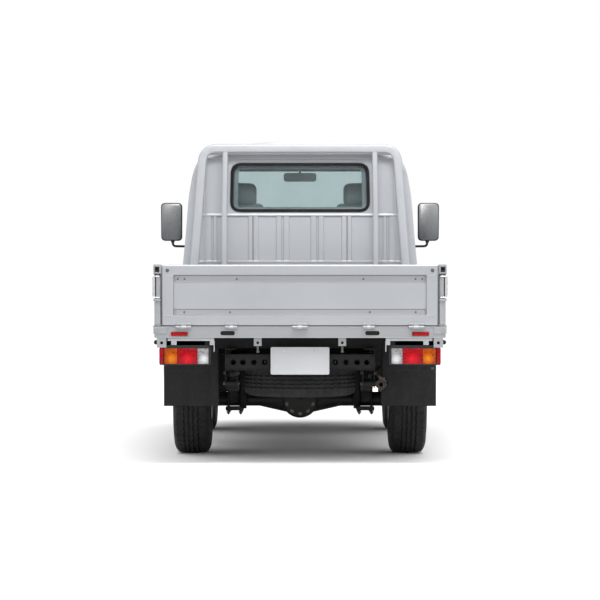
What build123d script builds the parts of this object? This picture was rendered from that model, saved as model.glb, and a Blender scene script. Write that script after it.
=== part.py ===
from build123d import *
import os

# Light cab-over truck with a dropside bed.  Millimetres, +Z up, +Y forward, +X to the right-hand
# side.  The origin is on the ground, under the middle of the whole vehicle.

os.makedirs("parts", exist_ok=True)

LEFT_RIGHT = (-1, 1)

# ---- Overall layout ---------------------------------------------------------------------------
REAR_OVERHANG = 1100
WHEELBASE = 2300
FRONT_OVERHANG = 1050
FRONT_Y = 2225          # the front stays here while the truck is made, and save() then centres it
FRONT_AXLE_Y = FRONT_Y - FRONT_OVERHANG
REAR_AXLE_Y = FRONT_AXLE_Y - WHEELBASE
REAR_Y = REAR_AXLE_Y - REAR_OVERHANG
MIDDLE_Y = (FRONT_Y + REAR_Y) / 2

MOVING_GAP = 6          # between panels that move and what they close against
SEAT_GAP = 0.5          # between a piece and what it is laid on, where their faces are curved or soft

# ---- Wheels -----------------------------------------------------------------------------------
TYRE_RADIUS = 330
REAR_TYRE_WIDTH = 225
FRONT_TYRE_WIDTH = 195
RIM_RADIUS = 190
RIM_WALL = 10
REAR_TRACK = 1320
FRONT_TRACK = 1410
AXLE_Z = TYRE_RADIUS
SPINDLE_RADIUS = 22
SPINDLE_CLEARANCE = 0.3
HUB_RADIUS = 50
HUB_HALF_LENGTH = 42
DRUM_RADIUS = 138
DRUM_DEPTH = 55
TREAD_SHARE = 0.73      # flat of the tread, as a share of the tyre's width
TREAD_CROWN = 4         # how far the tread stands up in its middle
BULGE_DROP = 5          # the side walls are widest this far below their middle
BEAD_SHARE = 0.70       # width of the rim, as a share of the tyre's width
DISC_SHARE = 0.45       # how far the rim's disc stands out from its middle towards its edge

# ---- Bed and gates ----------------------------------------------------------------------------
BED_WIDTH = 1652        # over the outer faces of the side gates
DECK_TOP_Z = 794
DECK_THICKNESS = 28
SILL_DEPTH = 65
SILL_WIDTH = 46
GATE_HEIGHT = 345
GATE_THICKNESS = 38
GATE_RAIL = 62          # top rail of a gate
GATE_STILE = 60         # end stile of a gate
GATE_RECESS = 10        # how far the centre panel lies behind the rails
GATE_END_GAP = 7
HINGE_OFFSET = 14       # hinge pins stand this far outside the sill
BARREL_RADIUS = 8.5
PIN_RADIUS = 4
PIN_CLEARANCE = 0.3
BARREL_GAP = 1
HINGE_STRAP = 5
HINGE_STRAP_HEIGHT = 62
TAILGATE_HINGES = ((-660, 86), (-390, 68), (0, 86), (390, 68), (660, 86))
SIDE_HINGE_COUNT = 5
SIDE_HINGE_WIDTH = 80
LATCH_DEPTH = 14
LATCH_WIDTH = 34
LATCH_HEIGHT = 55

REAR_SILL_Y = REAR_Y + HINGE_OFFSET + BARREL_RADIUS
SIDE_SILL_X = BED_WIDTH / 2
GATE_BOTTOM_Z = DECK_TOP_Z + MOVING_GAP
GATE_TOP_Z = GATE_BOTTOM_Z + GATE_HEIGHT
HINGE_Z = DECK_TOP_Z - 4
TAILGATE_HALF = SIDE_SILL_X - GATE_THICKNESS - 2 - GATE_END_GAP

# ---- Cab --------------------------------------------------------------------------------------
BUMPER_AHEAD = 65
CAB_LENGTH = 1740
CAB_FRONT_Y = FRONT_Y - BUMPER_AHEAD
CAB_BACK_Y = CAB_FRONT_Y - CAB_LENGTH
CAB_WALL = 50
CAB_BOTTOM_Z = 450
ROOF_SPLIT_Z = 1930
BELT_Z = 1235
CAB_HALF_WIDTH = 833    # at its widest, above the sills
GLASS_INSET = 18
GLASS_THICKNESS = 5
FLOOR_TOP_Z = 775
FLOOR_THICKNESS = 40
SEAT_BOX_HEIGHT = 155
SEAT_BOX_WALL = 20
ARCH_RADIUS = 400
BACK_SPLIT_X = 700
FRONT_SPLIT_Y = CAB_FRONT_Y - 180
FRONT_BOW = 60          # how far the middle of the front stands ahead of its corners
FRONT_CORNER_RADIUS = 150
PILLAR_FOOT = 5         # the front panel reaches this far up the windscreen pillars

DOOR_REAR_Y = CAB_BACK_Y + 400
DOOR_FRONT_Y = CAB_FRONT_Y - 240
DOOR_BOTTOM_Z = 515
DOOR_TOP_Z = 1885
DOOR_REAR_SLANT = 0.2   # how far the rear edge leads forward for each unit inward
DOOR_FRAME = 55
DOOR_SAIL = 95          # blank corner ahead of the door window, where the mirror bolts on

# Rear window opening in the back panel
REAR_WINDOW_HALF = 462
REAR_WINDOW_BOTTOM_Z = 1583
REAR_WINDOW_TOP_Z = 1872
REAR_WINDOW_CORNER = 55

# Half widths of the cab body at chosen heights, as shares of CAB_HALF_WIDTH
SIDE_SHAPE = ((CAB_BOTTOM_Z, 0.968), (700, 0.992), (950, 1.0), (1200, 0.978), (1490, 0.947), (1700, 0.923))
# Roof corner and crown: share of the half width, and drop below the crown
ROOF_SHAPE = ((0.880, 168), (0.831, 108), (0.720, 64), (0.480, 24), (0, 0))
# Along the cab: distance ahead of its back, share of the width, height of the crown
CAB_STATIONS = (
    (-20, 1.0, 1985),
    (60, 1.0, 2036),
    (300, 1.0, 2070),
    (700, 1.0, 2090),
    (1050, 1.0, 2084),
    (1230, 0.995, 2055),
    (1380, 0.985, 1985),
    (1800, 0.93, 1940),
)

# ---- Frame and running gear -------------------------------------------------------------------
RAIL_OUTER_X = 430
RAIL_FLANGE = 60
RAIL_HEIGHT = 120
RAIL_BOTTOM_Z = 545
RAIL_WALL = 6
RAIL_TOP_Z = RAIL_BOTTOM_Z + RAIL_HEIGHT
RAIL_FRONT_Y = CAB_FRONT_Y - 110
REAR_CROSSMEMBER_Y = REAR_Y + 145
REAR_CROSSMEMBER_Z = 587
REAR_CROSSMEMBER_HEIGHT = 84
CROSSMEMBER_HEIGHT = 80
CROSSMEMBER_WIDTH = 60
CROSSMEMBER_HOLE_X = (203, 264, 327, 383)
CROSSMEMBER_HOLE_RADIUS = 16

AXLE_TUBE_RADIUS = 42
DIFF_RADIUS = 113
DIFF_HALF_DEPTH = 95
PINION_REACH = 290

SPRING_X = 404
SPRING_WIDTH = 60
LEAF = 9
LEAF_COUNT = 3
SPRING_FRONT_Y = REAR_AXLE_Y + 575
SPRING_REAR_Y = REAR_AXLE_Y - 625
SPRING_EYE_Z = 455
EYE_RADIUS = 20
AXLE_PAD_HEIGHT = 8

KINGPIN_X = 600
KNUCKLE_LOW_Z = AXLE_Z - 85
KNUCKLE_TOP_Z = AXLE_Z + 100
KNUCKLE_SIZE = 56
ARM_THICKNESS = 28

SPARE_Y = REAR_Y + 565
SPARE_Z = 470
SPARE_WIDTH = 185

LAMP_INNER_X = 505
LAMP_OUTER_X = 797
LAMP_BOTTOM_Z = 575
LAMP_TOP_Z = 687
LAMP_DEPTH = 62
LENS_THICKNESS = 12
LENS_BOTTOM_Z = 581
LENS_TOP_Z = 669
LENS_EDGES_X = ((519, 582), (582, 695), (695, 770))
SIDE_STRIP_X = (776, 797)
LENS_GAP = 0.5          # each lens stops this far short of its edges

PLATE_HALF_WIDTH = 167.5
PLATE_BOTTOM_Z = 518
PLATE_HEIGHT = 157
PLATE_THICKNESS = 3
PLATE_Y = REAR_Y + 105
PLATE_BLOCK_HALF = 100
PLATE_BLOCK_HALF_HEIGHT = 30


def box_between(corner, opposite, mode=Mode.ADD):
    """A box given by two opposite corners."""
    size = [abs(b - a) for a, b in zip(corner, opposite)]
    with Locations(tuple((a + b) / 2 for a, b in zip(corner, opposite))):
        Box(*size, mode=mode)


def rod(start, end, radius, mode=Mode.ADD):
    """A round bar from start to end."""
    line = Vector(*end) - Vector(*start)
    with Locations(Plane(origin=start, z_dir=line)):
        Cylinder(radius, line.length, align=(Align.CENTER, Align.CENTER, Align.MIN), mode=mode)


def save(piece, name):
    """Label a finished piece and write it as its own file, with the truck's middle at the origin."""
    piece.part.label = name
    export_step(piece.part.moved(Location((0, -MIDDLE_Y, 0))), f"parts/{name}.step")


def save_pair(right, name):
    """Save a right-hand piece, and its mirror image as the left-hand one."""
    save(right, f"{name}_right")
    with BuildPart() as left:
        mirror(right.part, about=Plane.YZ)
    save(left, f"{name}_left")


# ---- Wheels -----------------------------------------------------------------------------------
def wheel_plane(y):
    """Plane through a road wheel's axis: its x runs across the vehicle, its y is the radius."""
    return Plane(origin=(0, y, AXLE_Z), x_dir=(1, 0, 0), z_dir=(0, -1, 0))


def spare_plane():
    """The same for the spare, which lies flat: its x runs up, its y is the radius."""
    return Plane(origin=(0, SPARE_Y, SPARE_Z), x_dir=(0, 0, 1), z_dir=(1, 0, 0))


def tyre(plane, centre, width):
    """Ring with bulged side walls and a slightly crowned tread."""
    half = width / 2
    tread = half * TREAD_SHARE
    bead = half * BEAD_SHARE
    shoulder_radius = TYRE_RADIUS - TREAD_CROWN
    bulge_radius = (TYRE_RADIUS + RIM_RADIUS) / 2 - BULGE_DROP
    with BuildPart() as ring:
        with BuildSketch(plane):
            with BuildLine():
                left_shoulder = (centre - tread, shoulder_radius)
                crown = ThreePointArc(left_shoulder, (centre, TYRE_RADIUS), (centre + tread, shoulder_radius))
                right = ThreePointArc(crown @ 1, (centre + half, bulge_radius), (centre + bead, RIM_RADIUS))
                inside = Line(right @ 1, (centre - bead, RIM_RADIUS))
                ThreePointArc(inside @ 1, (centre - half, bulge_radius), left_shoulder)
            make_face()
        revolve(axis=Axis(plane.origin, plane.x_dir))
    return ring


def rim(plane, centre, width, side, drum):
    """Rim barrel, disc and hub, with the disc towards the outer side, and a brake drum behind it."""
    half = width / 2 * BEAD_SHARE
    disc = centre + side * half * DISC_SHARE
    bore = SPINDLE_RADIUS + SPINDLE_CLEARANCE
    outline = (
        (centre - half, RIM_RADIUS),
        (centre + half, RIM_RADIUS),
        (centre + half, RIM_RADIUS - RIM_WALL),
        (centre - half, RIM_RADIUS - RIM_WALL),
    )
    with BuildPart() as wheel:
        with BuildSketch(plane):
            with BuildLine():
                Polyline(*outline, close=True)
            make_face()
            with Locations((disc, (RIM_RADIUS + bore) / 2)):
                Rectangle(RIM_WALL, RIM_RADIUS - bore)
            with Locations((disc - side * HUB_HALF_LENGTH / 2, (HUB_RADIUS + bore) / 2)):
                Rectangle(HUB_HALF_LENGTH * 1.5, HUB_RADIUS - bore)
            if drum:
                with Locations((disc - side * DRUM_DEPTH / 2, DRUM_RADIUS - RIM_WALL / 2)):
                    Rectangle(DRUM_DEPTH, RIM_WALL)
        revolve(axis=Axis(plane.origin, plane.x_dir))
    return wheel


WHEELS = (
    ("rear_left", -1, REAR_AXLE_Y, REAR_TRACK, REAR_TYRE_WIDTH),
    ("rear_right", 1, REAR_AXLE_Y, REAR_TRACK, REAR_TYRE_WIDTH),
    ("front_left", -1, FRONT_AXLE_Y, FRONT_TRACK, FRONT_TYRE_WIDTH),
    ("front_right", 1, FRONT_AXLE_Y, FRONT_TRACK, FRONT_TYRE_WIDTH),
)
for corner, side, axle_y, track, tyre_width in WHEELS:
    place = wheel_plane(axle_y)
    save(tyre(place, side * track / 2, tyre_width), f"tyre_{corner}")
    save(rim(place, side * track / 2, tyre_width, side, "rear" in corner), f"rim_{corner}")

save(tyre(spare_plane(), 0, SPARE_WIDTH), "spare_tyre")
save(rim(spare_plane(), 0, SPARE_WIDTH, -1, False), "spare_rim")

# ---- Frame ------------------------------------------------------------------------------------
with BuildPart() as frame_rails:
    for side in LEFT_RIGHT:
        web = side * (RAIL_OUTER_X - RAIL_WALL)
        face = side * (RAIL_OUTER_X - RAIL_FLANGE)
        rear = REAR_CROSSMEMBER_Y + RAIL_WALL
        box_between((side * RAIL_OUTER_X, rear, RAIL_BOTTOM_Z), (face, RAIL_FRONT_Y, RAIL_TOP_Z))
        box_between(
            (web, rear, RAIL_BOTTOM_Z + RAIL_WALL),
            (face, RAIL_FRONT_Y, RAIL_TOP_Z - RAIL_WALL),
            mode=Mode.SUBTRACT,
        )
save(frame_rails, "frame_rails")

CROSSMEMBER_YS = (REAR_AXLE_Y + 120, REAR_AXLE_Y + 700, CAB_BACK_Y - 120, FRONT_AXLE_Y + 480)
RAIL_MIDDLE_Z = (RAIL_BOTTOM_Z + RAIL_TOP_Z) / 2
CAB_MOUNT_YS = (CAB_BACK_Y + 130, CAB_FRONT_Y - 330)
CAB_MOUNT_SIZE = 60
SPARE_BEAM_HEIGHT = 40
HANGER_PLATE = (160, 60, 12)
with BuildPart() as crossmembers:
    half_span = RAIL_OUTER_X - RAIL_WALL
    for y in CROSSMEMBER_YS:
        with Locations((0, y, RAIL_MIDDLE_Z)):
            Box(2 * half_span, CROSSMEMBER_WIDTH, CROSSMEMBER_HEIGHT)
    with Locations((0, SPARE_Y, RAIL_MIDDLE_Z)):
        Box(2 * half_span, CROSSMEMBER_WIDTH, SPARE_BEAM_HEIGHT)
    # Rear crossmember: an upright plate facing the rear, lightened by round holes
    with Locations((0, REAR_CROSSMEMBER_Y, REAR_CROSSMEMBER_Z)):
        Box(2 * RAIL_OUTER_X, 2 * RAIL_WALL, REAR_CROSSMEMBER_HEIGHT)
    with BuildSketch(Plane.XZ.offset(-REAR_CROSSMEMBER_Y)):
        for x in CROSSMEMBER_HOLE_X:
            with Locations((-x, REAR_CROSSMEMBER_Z), (x, REAR_CROSSMEMBER_Z)):
                Circle(CROSSMEMBER_HOLE_RADIUS)
    extrude(amount=4 * RAIL_WALL, both=True, mode=Mode.SUBTRACT)
    # Spare wheel hanger: a rod through the middle of its rim, with a plate below the disc
    spare_disc_low = SPARE_Z - SPARE_WIDTH / 2 * BEAD_SHARE * DISC_SHARE - RIM_WALL / 2
    plate_z = spare_disc_low - 30
    rod((0, SPARE_Y, RAIL_MIDDLE_Z), (0, SPARE_Y, plate_z - HANGER_PLATE[2] / 2), SPINDLE_RADIUS - 6)
    with Locations((0, SPARE_Y, plate_z)):
        Box(*HANGER_PLATE)
    for side in LEFT_RIGHT:
        for y in CAB_MOUNT_YS:
            low = (side * (RAIL_OUTER_X - 30) - CAB_MOUNT_SIZE / 2, y - CAB_MOUNT_SIZE / 2, RAIL_TOP_Z)
            high = (low[0] + CAB_MOUNT_SIZE, low[1] + CAB_MOUNT_SIZE, FLOOR_TOP_Z - FLOOR_THICKNESS)
            box_between(low, high)
save(crossmembers, "crossmembers")

# ---- Bed --------------------------------------------------------------------------------------
BED_FRONT_Y = CAB_BACK_Y - 80
HEADBOARD_THICKNESS = 30
BED_INNER_FRONT_Y = BED_FRONT_Y - 40
SIDE_GATE_FRONT_Y = BED_INNER_FRONT_Y - GATE_END_GAP
SIDE_GATE_REAR_Y = REAR_SILL_Y + 5


def hinge_barrels(width):
    """Spans along the pin of a hinge's two fixed barrels and of the moving one between them."""
    third = width / 3
    return (-width / 2, -third / 2 - BARREL_GAP), (-third / 2, third / 2), (third / 2 + BARREL_GAP, width / 2)


def fixed_hinge(width):
    """Sill side of a hinge, about a pin along X through the origin, with the sill at +Y."""
    spans = hinge_barrels(width)
    with BuildPart() as leaf:
        for start, end in (spans[0], spans[2]):
            rod((start, 0, 0), (end, 0, 0), BARREL_RADIUS)
            box_between((start, 0, -BARREL_RADIUS), (end, HINGE_OFFSET, 0))
        rod((-width / 2, 0, 0), (width / 2, 0, 0), PIN_RADIUS)
    return leaf.part


def moving_hinge(width):
    """Gate side of a hinge in the same place, with the gate's outer face at HINGE_OFFSET."""
    start, end = hinge_barrels(width)[1]
    with BuildPart() as leaf:
        rod((start, 0, 0), (end, 0, 0), BARREL_RADIUS)
        box_between((start, 0, 0), (end, HINGE_OFFSET, BARREL_RADIUS))
        strap_low = GATE_BOTTOM_Z - HINGE_Z + 1
        box_between((start, HINGE_OFFSET - HINGE_STRAP, 0), (end, HINGE_OFFSET, strap_low))
        box_between(
            (-width / 2, HINGE_OFFSET - HINGE_STRAP, strap_low), (width / 2, HINGE_OFFSET, HINGE_STRAP_HEIGHT)
        )
        rod((-width / 2, 0, 0), (width / 2, 0, 0), PIN_RADIUS + PIN_CLEARANCE, mode=Mode.SUBTRACT)
    return leaf.part


def tailgate_hinge_places():
    """Each hinge of the tailgate as its width and place."""
    for x, width in TAILGATE_HINGES:
        yield width, Location((x, REAR_SILL_Y - HINGE_OFFSET, HINGE_Z))


def side_hinge_places(side):
    """Each hinge of a side gate as its width and place, turned so that its sill side faces inward."""
    length = SIDE_GATE_FRONT_Y - SIDE_GATE_REAR_Y
    pitch = length / SIDE_HINGE_COUNT
    for i in range(SIDE_HINGE_COUNT):
        y = SIDE_GATE_REAR_Y + pitch * (i + 0.5)
        yield SIDE_HINGE_WIDTH, Location((side * (SIDE_SILL_X + HINGE_OFFSET), y, HINGE_Z), (0, 0, side * 90))


SILL_SLOT_X = 411
SILL_SLOT_LENGTH = 82
SILL_SLOT_HEIGHT = 25
SILL_SLOT_DEPTH = 12
SILL_BOTTOM_Z = DECK_TOP_Z - SILL_DEPTH
SIDE_GATE_THICKNESS = GATE_THICKNESS + 2
DECK_PLATE = 4          # raised floor plate, clear of the gates all round
DECK_PLATE_HALF = SIDE_SILL_X - SIDE_GATE_THICKNESS - MOVING_GAP
DECK_PLATE_REAR_Y = REAR_SILL_Y + GATE_THICKNESS + MOVING_GAP
DECK_PLATE_FRONT_Y = BED_INNER_FRONT_Y - MOVING_GAP
HANGING_TAB_X = 240
HANGING_TAB_HALF = 22
HANGING_TAB_DROP = 46
HANGING_TAB_Y = REAR_SILL_Y + 15
HANGING_HOLE_RADIUS = 8
CORNER_TAB_X = 785
CORNER_TAB_HALF = 27
CORNER_TAB_DROP = 55
CORNER_HOLE_RADIUS = 9
TAB_THICKNESS = 5
TAB_HOLE_Z = SILL_BOTTOM_Z - 28
LAMP_BRACKET_HALF = 110
with BuildPart() as bed_floor:
    box_between(
        (-SIDE_SILL_X, REAR_SILL_Y, DECK_TOP_Z - DECK_THICKNESS), (SIDE_SILL_X, BED_FRONT_Y, DECK_TOP_Z)
    )
    box_between(
        (-DECK_PLATE_HALF, DECK_PLATE_REAR_Y, DECK_TOP_Z),
        (DECK_PLATE_HALF, DECK_PLATE_FRONT_Y, DECK_TOP_Z + DECK_PLATE),
    )
    box_between(
        (-SIDE_SILL_X, REAR_SILL_Y, SILL_BOTTOM_Z), (SIDE_SILL_X, REAR_SILL_Y + SILL_WIDTH, DECK_TOP_Z)
    )
    for side in LEFT_RIGHT:
        box_between(
            (side * (SIDE_SILL_X - SILL_WIDTH), REAR_SILL_Y, SILL_BOTTOM_Z),
            (side * SIDE_SILL_X, BED_FRONT_Y, DECK_TOP_Z),
        )
        for width, place in side_hinge_places(side):
            add(fixed_hinge(width).moved(place))
        # Lamp bracket, hanging tab and corner tab under the rear sill
        lamp_x = side * (LAMP_INNER_X + LAMP_OUTER_X) / 2
        box_between(
            (lamp_x - LAMP_BRACKET_HALF, REAR_SILL_Y + 20, LAMP_TOP_Z),
            (lamp_x + LAMP_BRACKET_HALF, REAR_SILL_Y + 40, SILL_BOTTOM_Z),
        )
        box_between(
            (side * HANGING_TAB_X - HANGING_TAB_HALF, HANGING_TAB_Y, SILL_BOTTOM_Z - HANGING_TAB_DROP),
            (side * HANGING_TAB_X + HANGING_TAB_HALF, HANGING_TAB_Y + TAB_THICKNESS, SILL_BOTTOM_Z),
        )
        box_between(
            (side * CORNER_TAB_X - CORNER_TAB_HALF, REAR_SILL_Y, SILL_BOTTOM_Z - CORNER_TAB_DROP),
            (side * CORNER_TAB_X + CORNER_TAB_HALF, REAR_SILL_Y + TAB_THICKNESS, SILL_BOTTOM_Z),
        )
    for width, place in tailgate_hinge_places():
        add(fixed_hinge(width).moved(place))
    with BuildSketch(Plane.XZ.offset(-REAR_SILL_Y)):
        with Locations((-SILL_SLOT_X, SILL_BOTTOM_Z + 27), (SILL_SLOT_X, SILL_BOTTOM_Z + 27)):
            SlotOverall(SILL_SLOT_LENGTH, SILL_SLOT_HEIGHT)
    extrude(amount=-SILL_SLOT_DEPTH, mode=Mode.SUBTRACT)
    with BuildSketch(Plane.XZ.offset(-REAR_SILL_Y)):
        with Locations((-CORNER_TAB_X, TAB_HOLE_Z), (CORNER_TAB_X, TAB_HOLE_Z)):
            Circle(CORNER_HOLE_RADIUS)
        with Locations((-HANGING_TAB_X, TAB_HOLE_Z), (HANGING_TAB_X, TAB_HOLE_Z)):
            Circle(HANGING_HOLE_RADIUS)
    extrude(amount=-(HANGING_TAB_Y - REAR_SILL_Y + TAB_THICKNESS + 1), mode=Mode.SUBTRACT)
save(bed_floor, "bed_floor")

BEARER_WIDTH = 60
BEARER_TOP_Z = DECK_TOP_Z - DECK_THICKNESS
BEARER_HALF = SIDE_SILL_X - SILL_WIDTH
TYRE_REACH = TYRE_RADIUS + 100
with BuildPart() as bed_bearers:
    for y, half in (
        (REAR_AXLE_Y - TYRE_REACH - 380, BEARER_HALF),
        (REAR_AXLE_Y - TYRE_REACH, BEARER_HALF),
        (REAR_AXLE_Y, RAIL_OUTER_X + 30),
        (REAR_AXLE_Y + TYRE_REACH, BEARER_HALF),
        ((REAR_AXLE_Y + TYRE_REACH + BED_FRONT_Y) / 2, BEARER_HALF),
        (BED_FRONT_Y - BEARER_WIDTH, BEARER_HALF),
    ):
        box_between((-half, y - BEARER_WIDTH / 2, RAIL_TOP_Z), (half, y + BEARER_WIDTH / 2, BEARER_TOP_Z))
save(bed_bearers, "bed_bearers")

ARCH_FOOT_X = 775
ARCH_SHOULDER = (758, 1200)
ARCH_CORNER = (694, 2000)
ARCH_TOP_Z = 2030
ARCH_BAND = 60
ARCH_CORNER_RADIUS = 125
ARCH_DEPTH = 34
ARCH_POST_X = 525
ARCH_POST_WIDTH = 40
ARCH_Y = BED_FRONT_Y - 38
with BuildPart() as guard_arch:
    with BuildSketch(Plane.XZ.offset(-ARCH_Y)):
        with BuildLine():
            leg = Polyline((0, DECK_TOP_Z), (ARCH_FOOT_X, DECK_TOP_Z), ARCH_SHOULDER, ARCH_CORNER)
            Line(leg @ 1, (0, ARCH_TOP_Z))
            mirror(about=Plane.YZ)
        outline = make_face()
        fillet([v for v in outline.vertices() if abs(abs(v.X) - ARCH_CORNER[0]) < 1], ARCH_CORNER_RADIUS)
        offset(amount=-ARCH_BAND, kind=Kind.INTERSECTION, mode=Mode.SUBTRACT)
        with Locations((0, DECK_TOP_Z)):
            Rectangle(2 * (ARCH_FOOT_X - ARCH_BAND), 2 * ARCH_BAND + 2, mode=Mode.SUBTRACT)
        for side in LEFT_RIGHT:
            with Locations((side * ARCH_POST_X, (GATE_TOP_Z + ARCH_TOP_Z - ARCH_BAND) / 2)):
                Rectangle(ARCH_POST_WIDTH, ARCH_TOP_Z - ARCH_BAND - GATE_TOP_Z)
    extrude(amount=-ARCH_DEPTH)
save(guard_arch, "guard_arch")

with BuildPart() as headboard:
    box_between(
        (-ARCH_FOOT_X + ARCH_BAND, ARCH_Y + 2, DECK_TOP_Z),
        (ARCH_FOOT_X - ARCH_BAND, ARCH_Y + 2 + HEADBOARD_THICKNESS, GATE_TOP_Z),
    )
    add(guard_arch.part, mode=Mode.SUBTRACT)
save(headboard, "headboard")


# ---- Gates ------------------------------------------------------------------------------------
def gate_panel(length, thickness):
    """A gate standing on the XY plane along X, with its outer face on the XZ plane."""
    with BuildPart() as panel:
        box_between((-length / 2, 0, 0), (length / 2, thickness, GATE_HEIGHT))
        panel_height = GATE_HEIGHT - 2 * GATE_RAIL
        with BuildSketch(Plane.XZ):
            with Locations((0, GATE_HEIGHT / 2)):
                Rectangle(length - 2 * GATE_STILE, panel_height)
        extrude(amount=-GATE_RECESS, taper=30, mode=Mode.SUBTRACT)
    return panel.part


with BuildPart() as tailgate:
    add(gate_panel(2 * TAILGATE_HALF, GATE_THICKNESS).moved(Location((0, REAR_SILL_Y, GATE_BOTTOM_Z))))
    for width, place in tailgate_hinge_places():
        add(moving_hinge(width).moved(place))
save(tailgate, "tailgate")

SIDE_GATE_LENGTH = SIDE_GATE_FRONT_Y - SIDE_GATE_REAR_Y
SIDE_GATE_MIDDLE_Y = (SIDE_GATE_FRONT_Y + SIDE_GATE_REAR_Y) / 2
with BuildPart() as side_gate_right:
    place = Location((SIDE_SILL_X, SIDE_GATE_MIDDLE_Y, GATE_BOTTOM_Z), (0, 0, 90))
    add(gate_panel(SIDE_GATE_LENGTH, SIDE_GATE_THICKNESS).moved(place))
    for width, place in side_hinge_places(1):
        add(moving_hinge(width).moved(place))
    box_between(
        (SIDE_SILL_X - LATCH_WIDTH, SIDE_GATE_REAR_Y - LATCH_DEPTH, GATE_TOP_Z - LATCH_HEIGHT),
        (SIDE_SILL_X, SIDE_GATE_REAR_Y, GATE_TOP_Z - 3),
    )
save_pair(side_gate_right, "side_gate")


# ---- Cab shell --------------------------------------------------------------------------------
def plan_outline(height, rear_y, half_width, front_y):
    """Sketch, at a height, of the truck's bowed and round-cornered front as seen from above."""
    corner_y = front_y - FRONT_BOW
    with BuildSketch(Plane.XY.offset(height)) as plan:
        with BuildLine():
            sides = Polyline(
                (half_width, corner_y), (half_width, rear_y), (-half_width, rear_y), (-half_width, corner_y)
            )
            ThreePointArc(sides @ 1, (0, front_y), sides @ 0)
        outline = make_face()
        fillet(outline.vertices().sort_by(Axis.Y)[-2:], FRONT_CORNER_RADIUS)
    return plan.sketch


def cab_envelope(inset):
    """The cab's outer form, or the same form moved inward by inset."""
    with BuildPart() as body:
        for ahead, share, crown_z in CAB_STATIONS:
            with BuildSketch(Plane.XZ.offset(-(CAB_BACK_Y + ahead))):
                with BuildLine():
                    flank = [(CAB_HALF_WIDTH * share * wide - inset, z) for z, wide in SIDE_SHAPE]
                    top = [
                        (CAB_HALF_WIDTH * wide - inset * wide * 0.9, crown_z - drop - inset * (1 - wide / 2))
                        for wide, drop in ROOF_SHAPE
                    ]
                    skin = Spline(*flank, *top, tangents=((0.05, 1), (-1, 0)))
                    Line((0, CAB_BOTTOM_Z), skin @ 0)
                    mirror(about=Plane.YZ)
                make_face()
        loft()
        with BuildSketch(Plane.YZ):
            with BuildLine():
                back = Line((CAB_BACK_Y + inset, 0), (CAB_BACK_Y + inset, 2 * ROOF_SPLIT_Z))
                over = Line(back @ 1, (windscreen_y(2 * ROOF_SPLIT_Z) - inset, 2 * ROOF_SPLIT_Z))
                screen = Line(over @ 1, (windscreen_y(BELT_Z) - inset, BELT_Z))
                nose = ThreePointArc(
                    screen @ 1, (CAB_FRONT_Y - 12 - inset, BELT_Z - 330), (CAB_FRONT_Y - 25 - inset, 0)
                )
                Line(nose @ 1, back @ 0)
            make_face()
        extrude(amount=2 * CAB_HALF_WIDTH, both=True, mode=Mode.INTERSECT)
        plan = plan_outline(0, CAB_BACK_Y + inset, CAB_HALF_WIDTH + 8 - inset, CAB_FRONT_Y - inset)
        extrude(plan, amount=2 * ROOF_SPLIT_Z, mode=Mode.INTERSECT)
    return body.part


def windscreen_y(z):
    """Where the plane of the windscreen is at height z."""
    return CAB_FRONT_Y - 94 - (z - BELT_Z) * 0.44


def side_prism(points, corner_radius, start_x, end_x):
    """A closed outline of (y, z) points with rounded corners, run across from start_x to end_x."""
    with BuildPart() as prism:
        with BuildSketch(Plane.YZ.offset(start_x)):
            with BuildLine():
                Polyline(*points, close=True)
            face = make_face()
            fillet(face.vertices(), corner_radius)
        extrude(amount=end_x - start_x)
    return prism.part


def front_prism(points, corner_radius, start_y, end_y):
    """A closed outline of (x, z) points with rounded corners, run forward from start_y to end_y."""
    with BuildPart() as prism:
        with BuildSketch(Plane.XZ.offset(-start_y)):
            with BuildLine():
                Polyline(*points, close=True)
            face = make_face()
            fillet(face.vertices(), corner_radius)
        extrude(amount=-(end_y - start_y))
    return prism.part


def door_front_y(z):
    """Front edge of the door: upright below the belt, then leaning back beside the windscreen."""
    return DOOR_FRONT_Y - max(z - BELT_Z, 0) * 0.34


def door_zone(gap):
    """Space that the right door fills, grown by gap."""
    outer = CAB_HALF_WIDTH + 100
    inner = CAB_HALF_WIDTH - 400
    top = DOOR_TOP_Z + gap
    bottom = DOOR_BOTTOM_Z - gap
    lead = DOOR_REAR_SLANT * (outer - CAB_HALF_WIDTH)
    with BuildPart() as zone:
        with BuildSketch(Plane.YZ.offset(inner)):
            with BuildLine():
                Polyline(
                    (DOOR_REAR_Y - 200, bottom),
                    (door_front_y(bottom) + gap, bottom),
                    (door_front_y(BELT_Z) + gap, BELT_Z),
                    (door_front_y(top) + gap, top),
                    (DOOR_REAR_Y - 200, top),
                    close=True,
                )
            make_face()
        extrude(amount=outer - inner)
        with BuildSketch(Plane.XY):
            with BuildLine():
                Polyline(
                    (outer, DOOR_REAR_Y - lead - gap),
                    (outer, CAB_FRONT_Y),
                    (inner, CAB_FRONT_Y),
                    (inner, DOOR_REAR_Y + DOOR_REAR_SLANT * 400 - gap),
                    close=True,
                )
            make_face()
        extrude(amount=2 * ROOF_SPLIT_Z, mode=Mode.INTERSECT)
    return zone.part


def door_window_zone():
    """Opening of the right door's window, run across the door."""
    low = BELT_Z + 12
    top = DOOR_TOP_Z - DOOR_FRAME
    points = (
        (DOOR_REAR_Y + DOOR_FRAME + 20, low),
        (door_front_y(low) - DOOR_SAIL, low),
        (door_front_y(top) - DOOR_FRAME, top),
        (DOOR_REAR_Y + DOOR_FRAME + 20, top),
    )
    return side_prism(points, 40, CAB_HALF_WIDTH - 300, CAB_HALF_WIDTH + 100)


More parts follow.
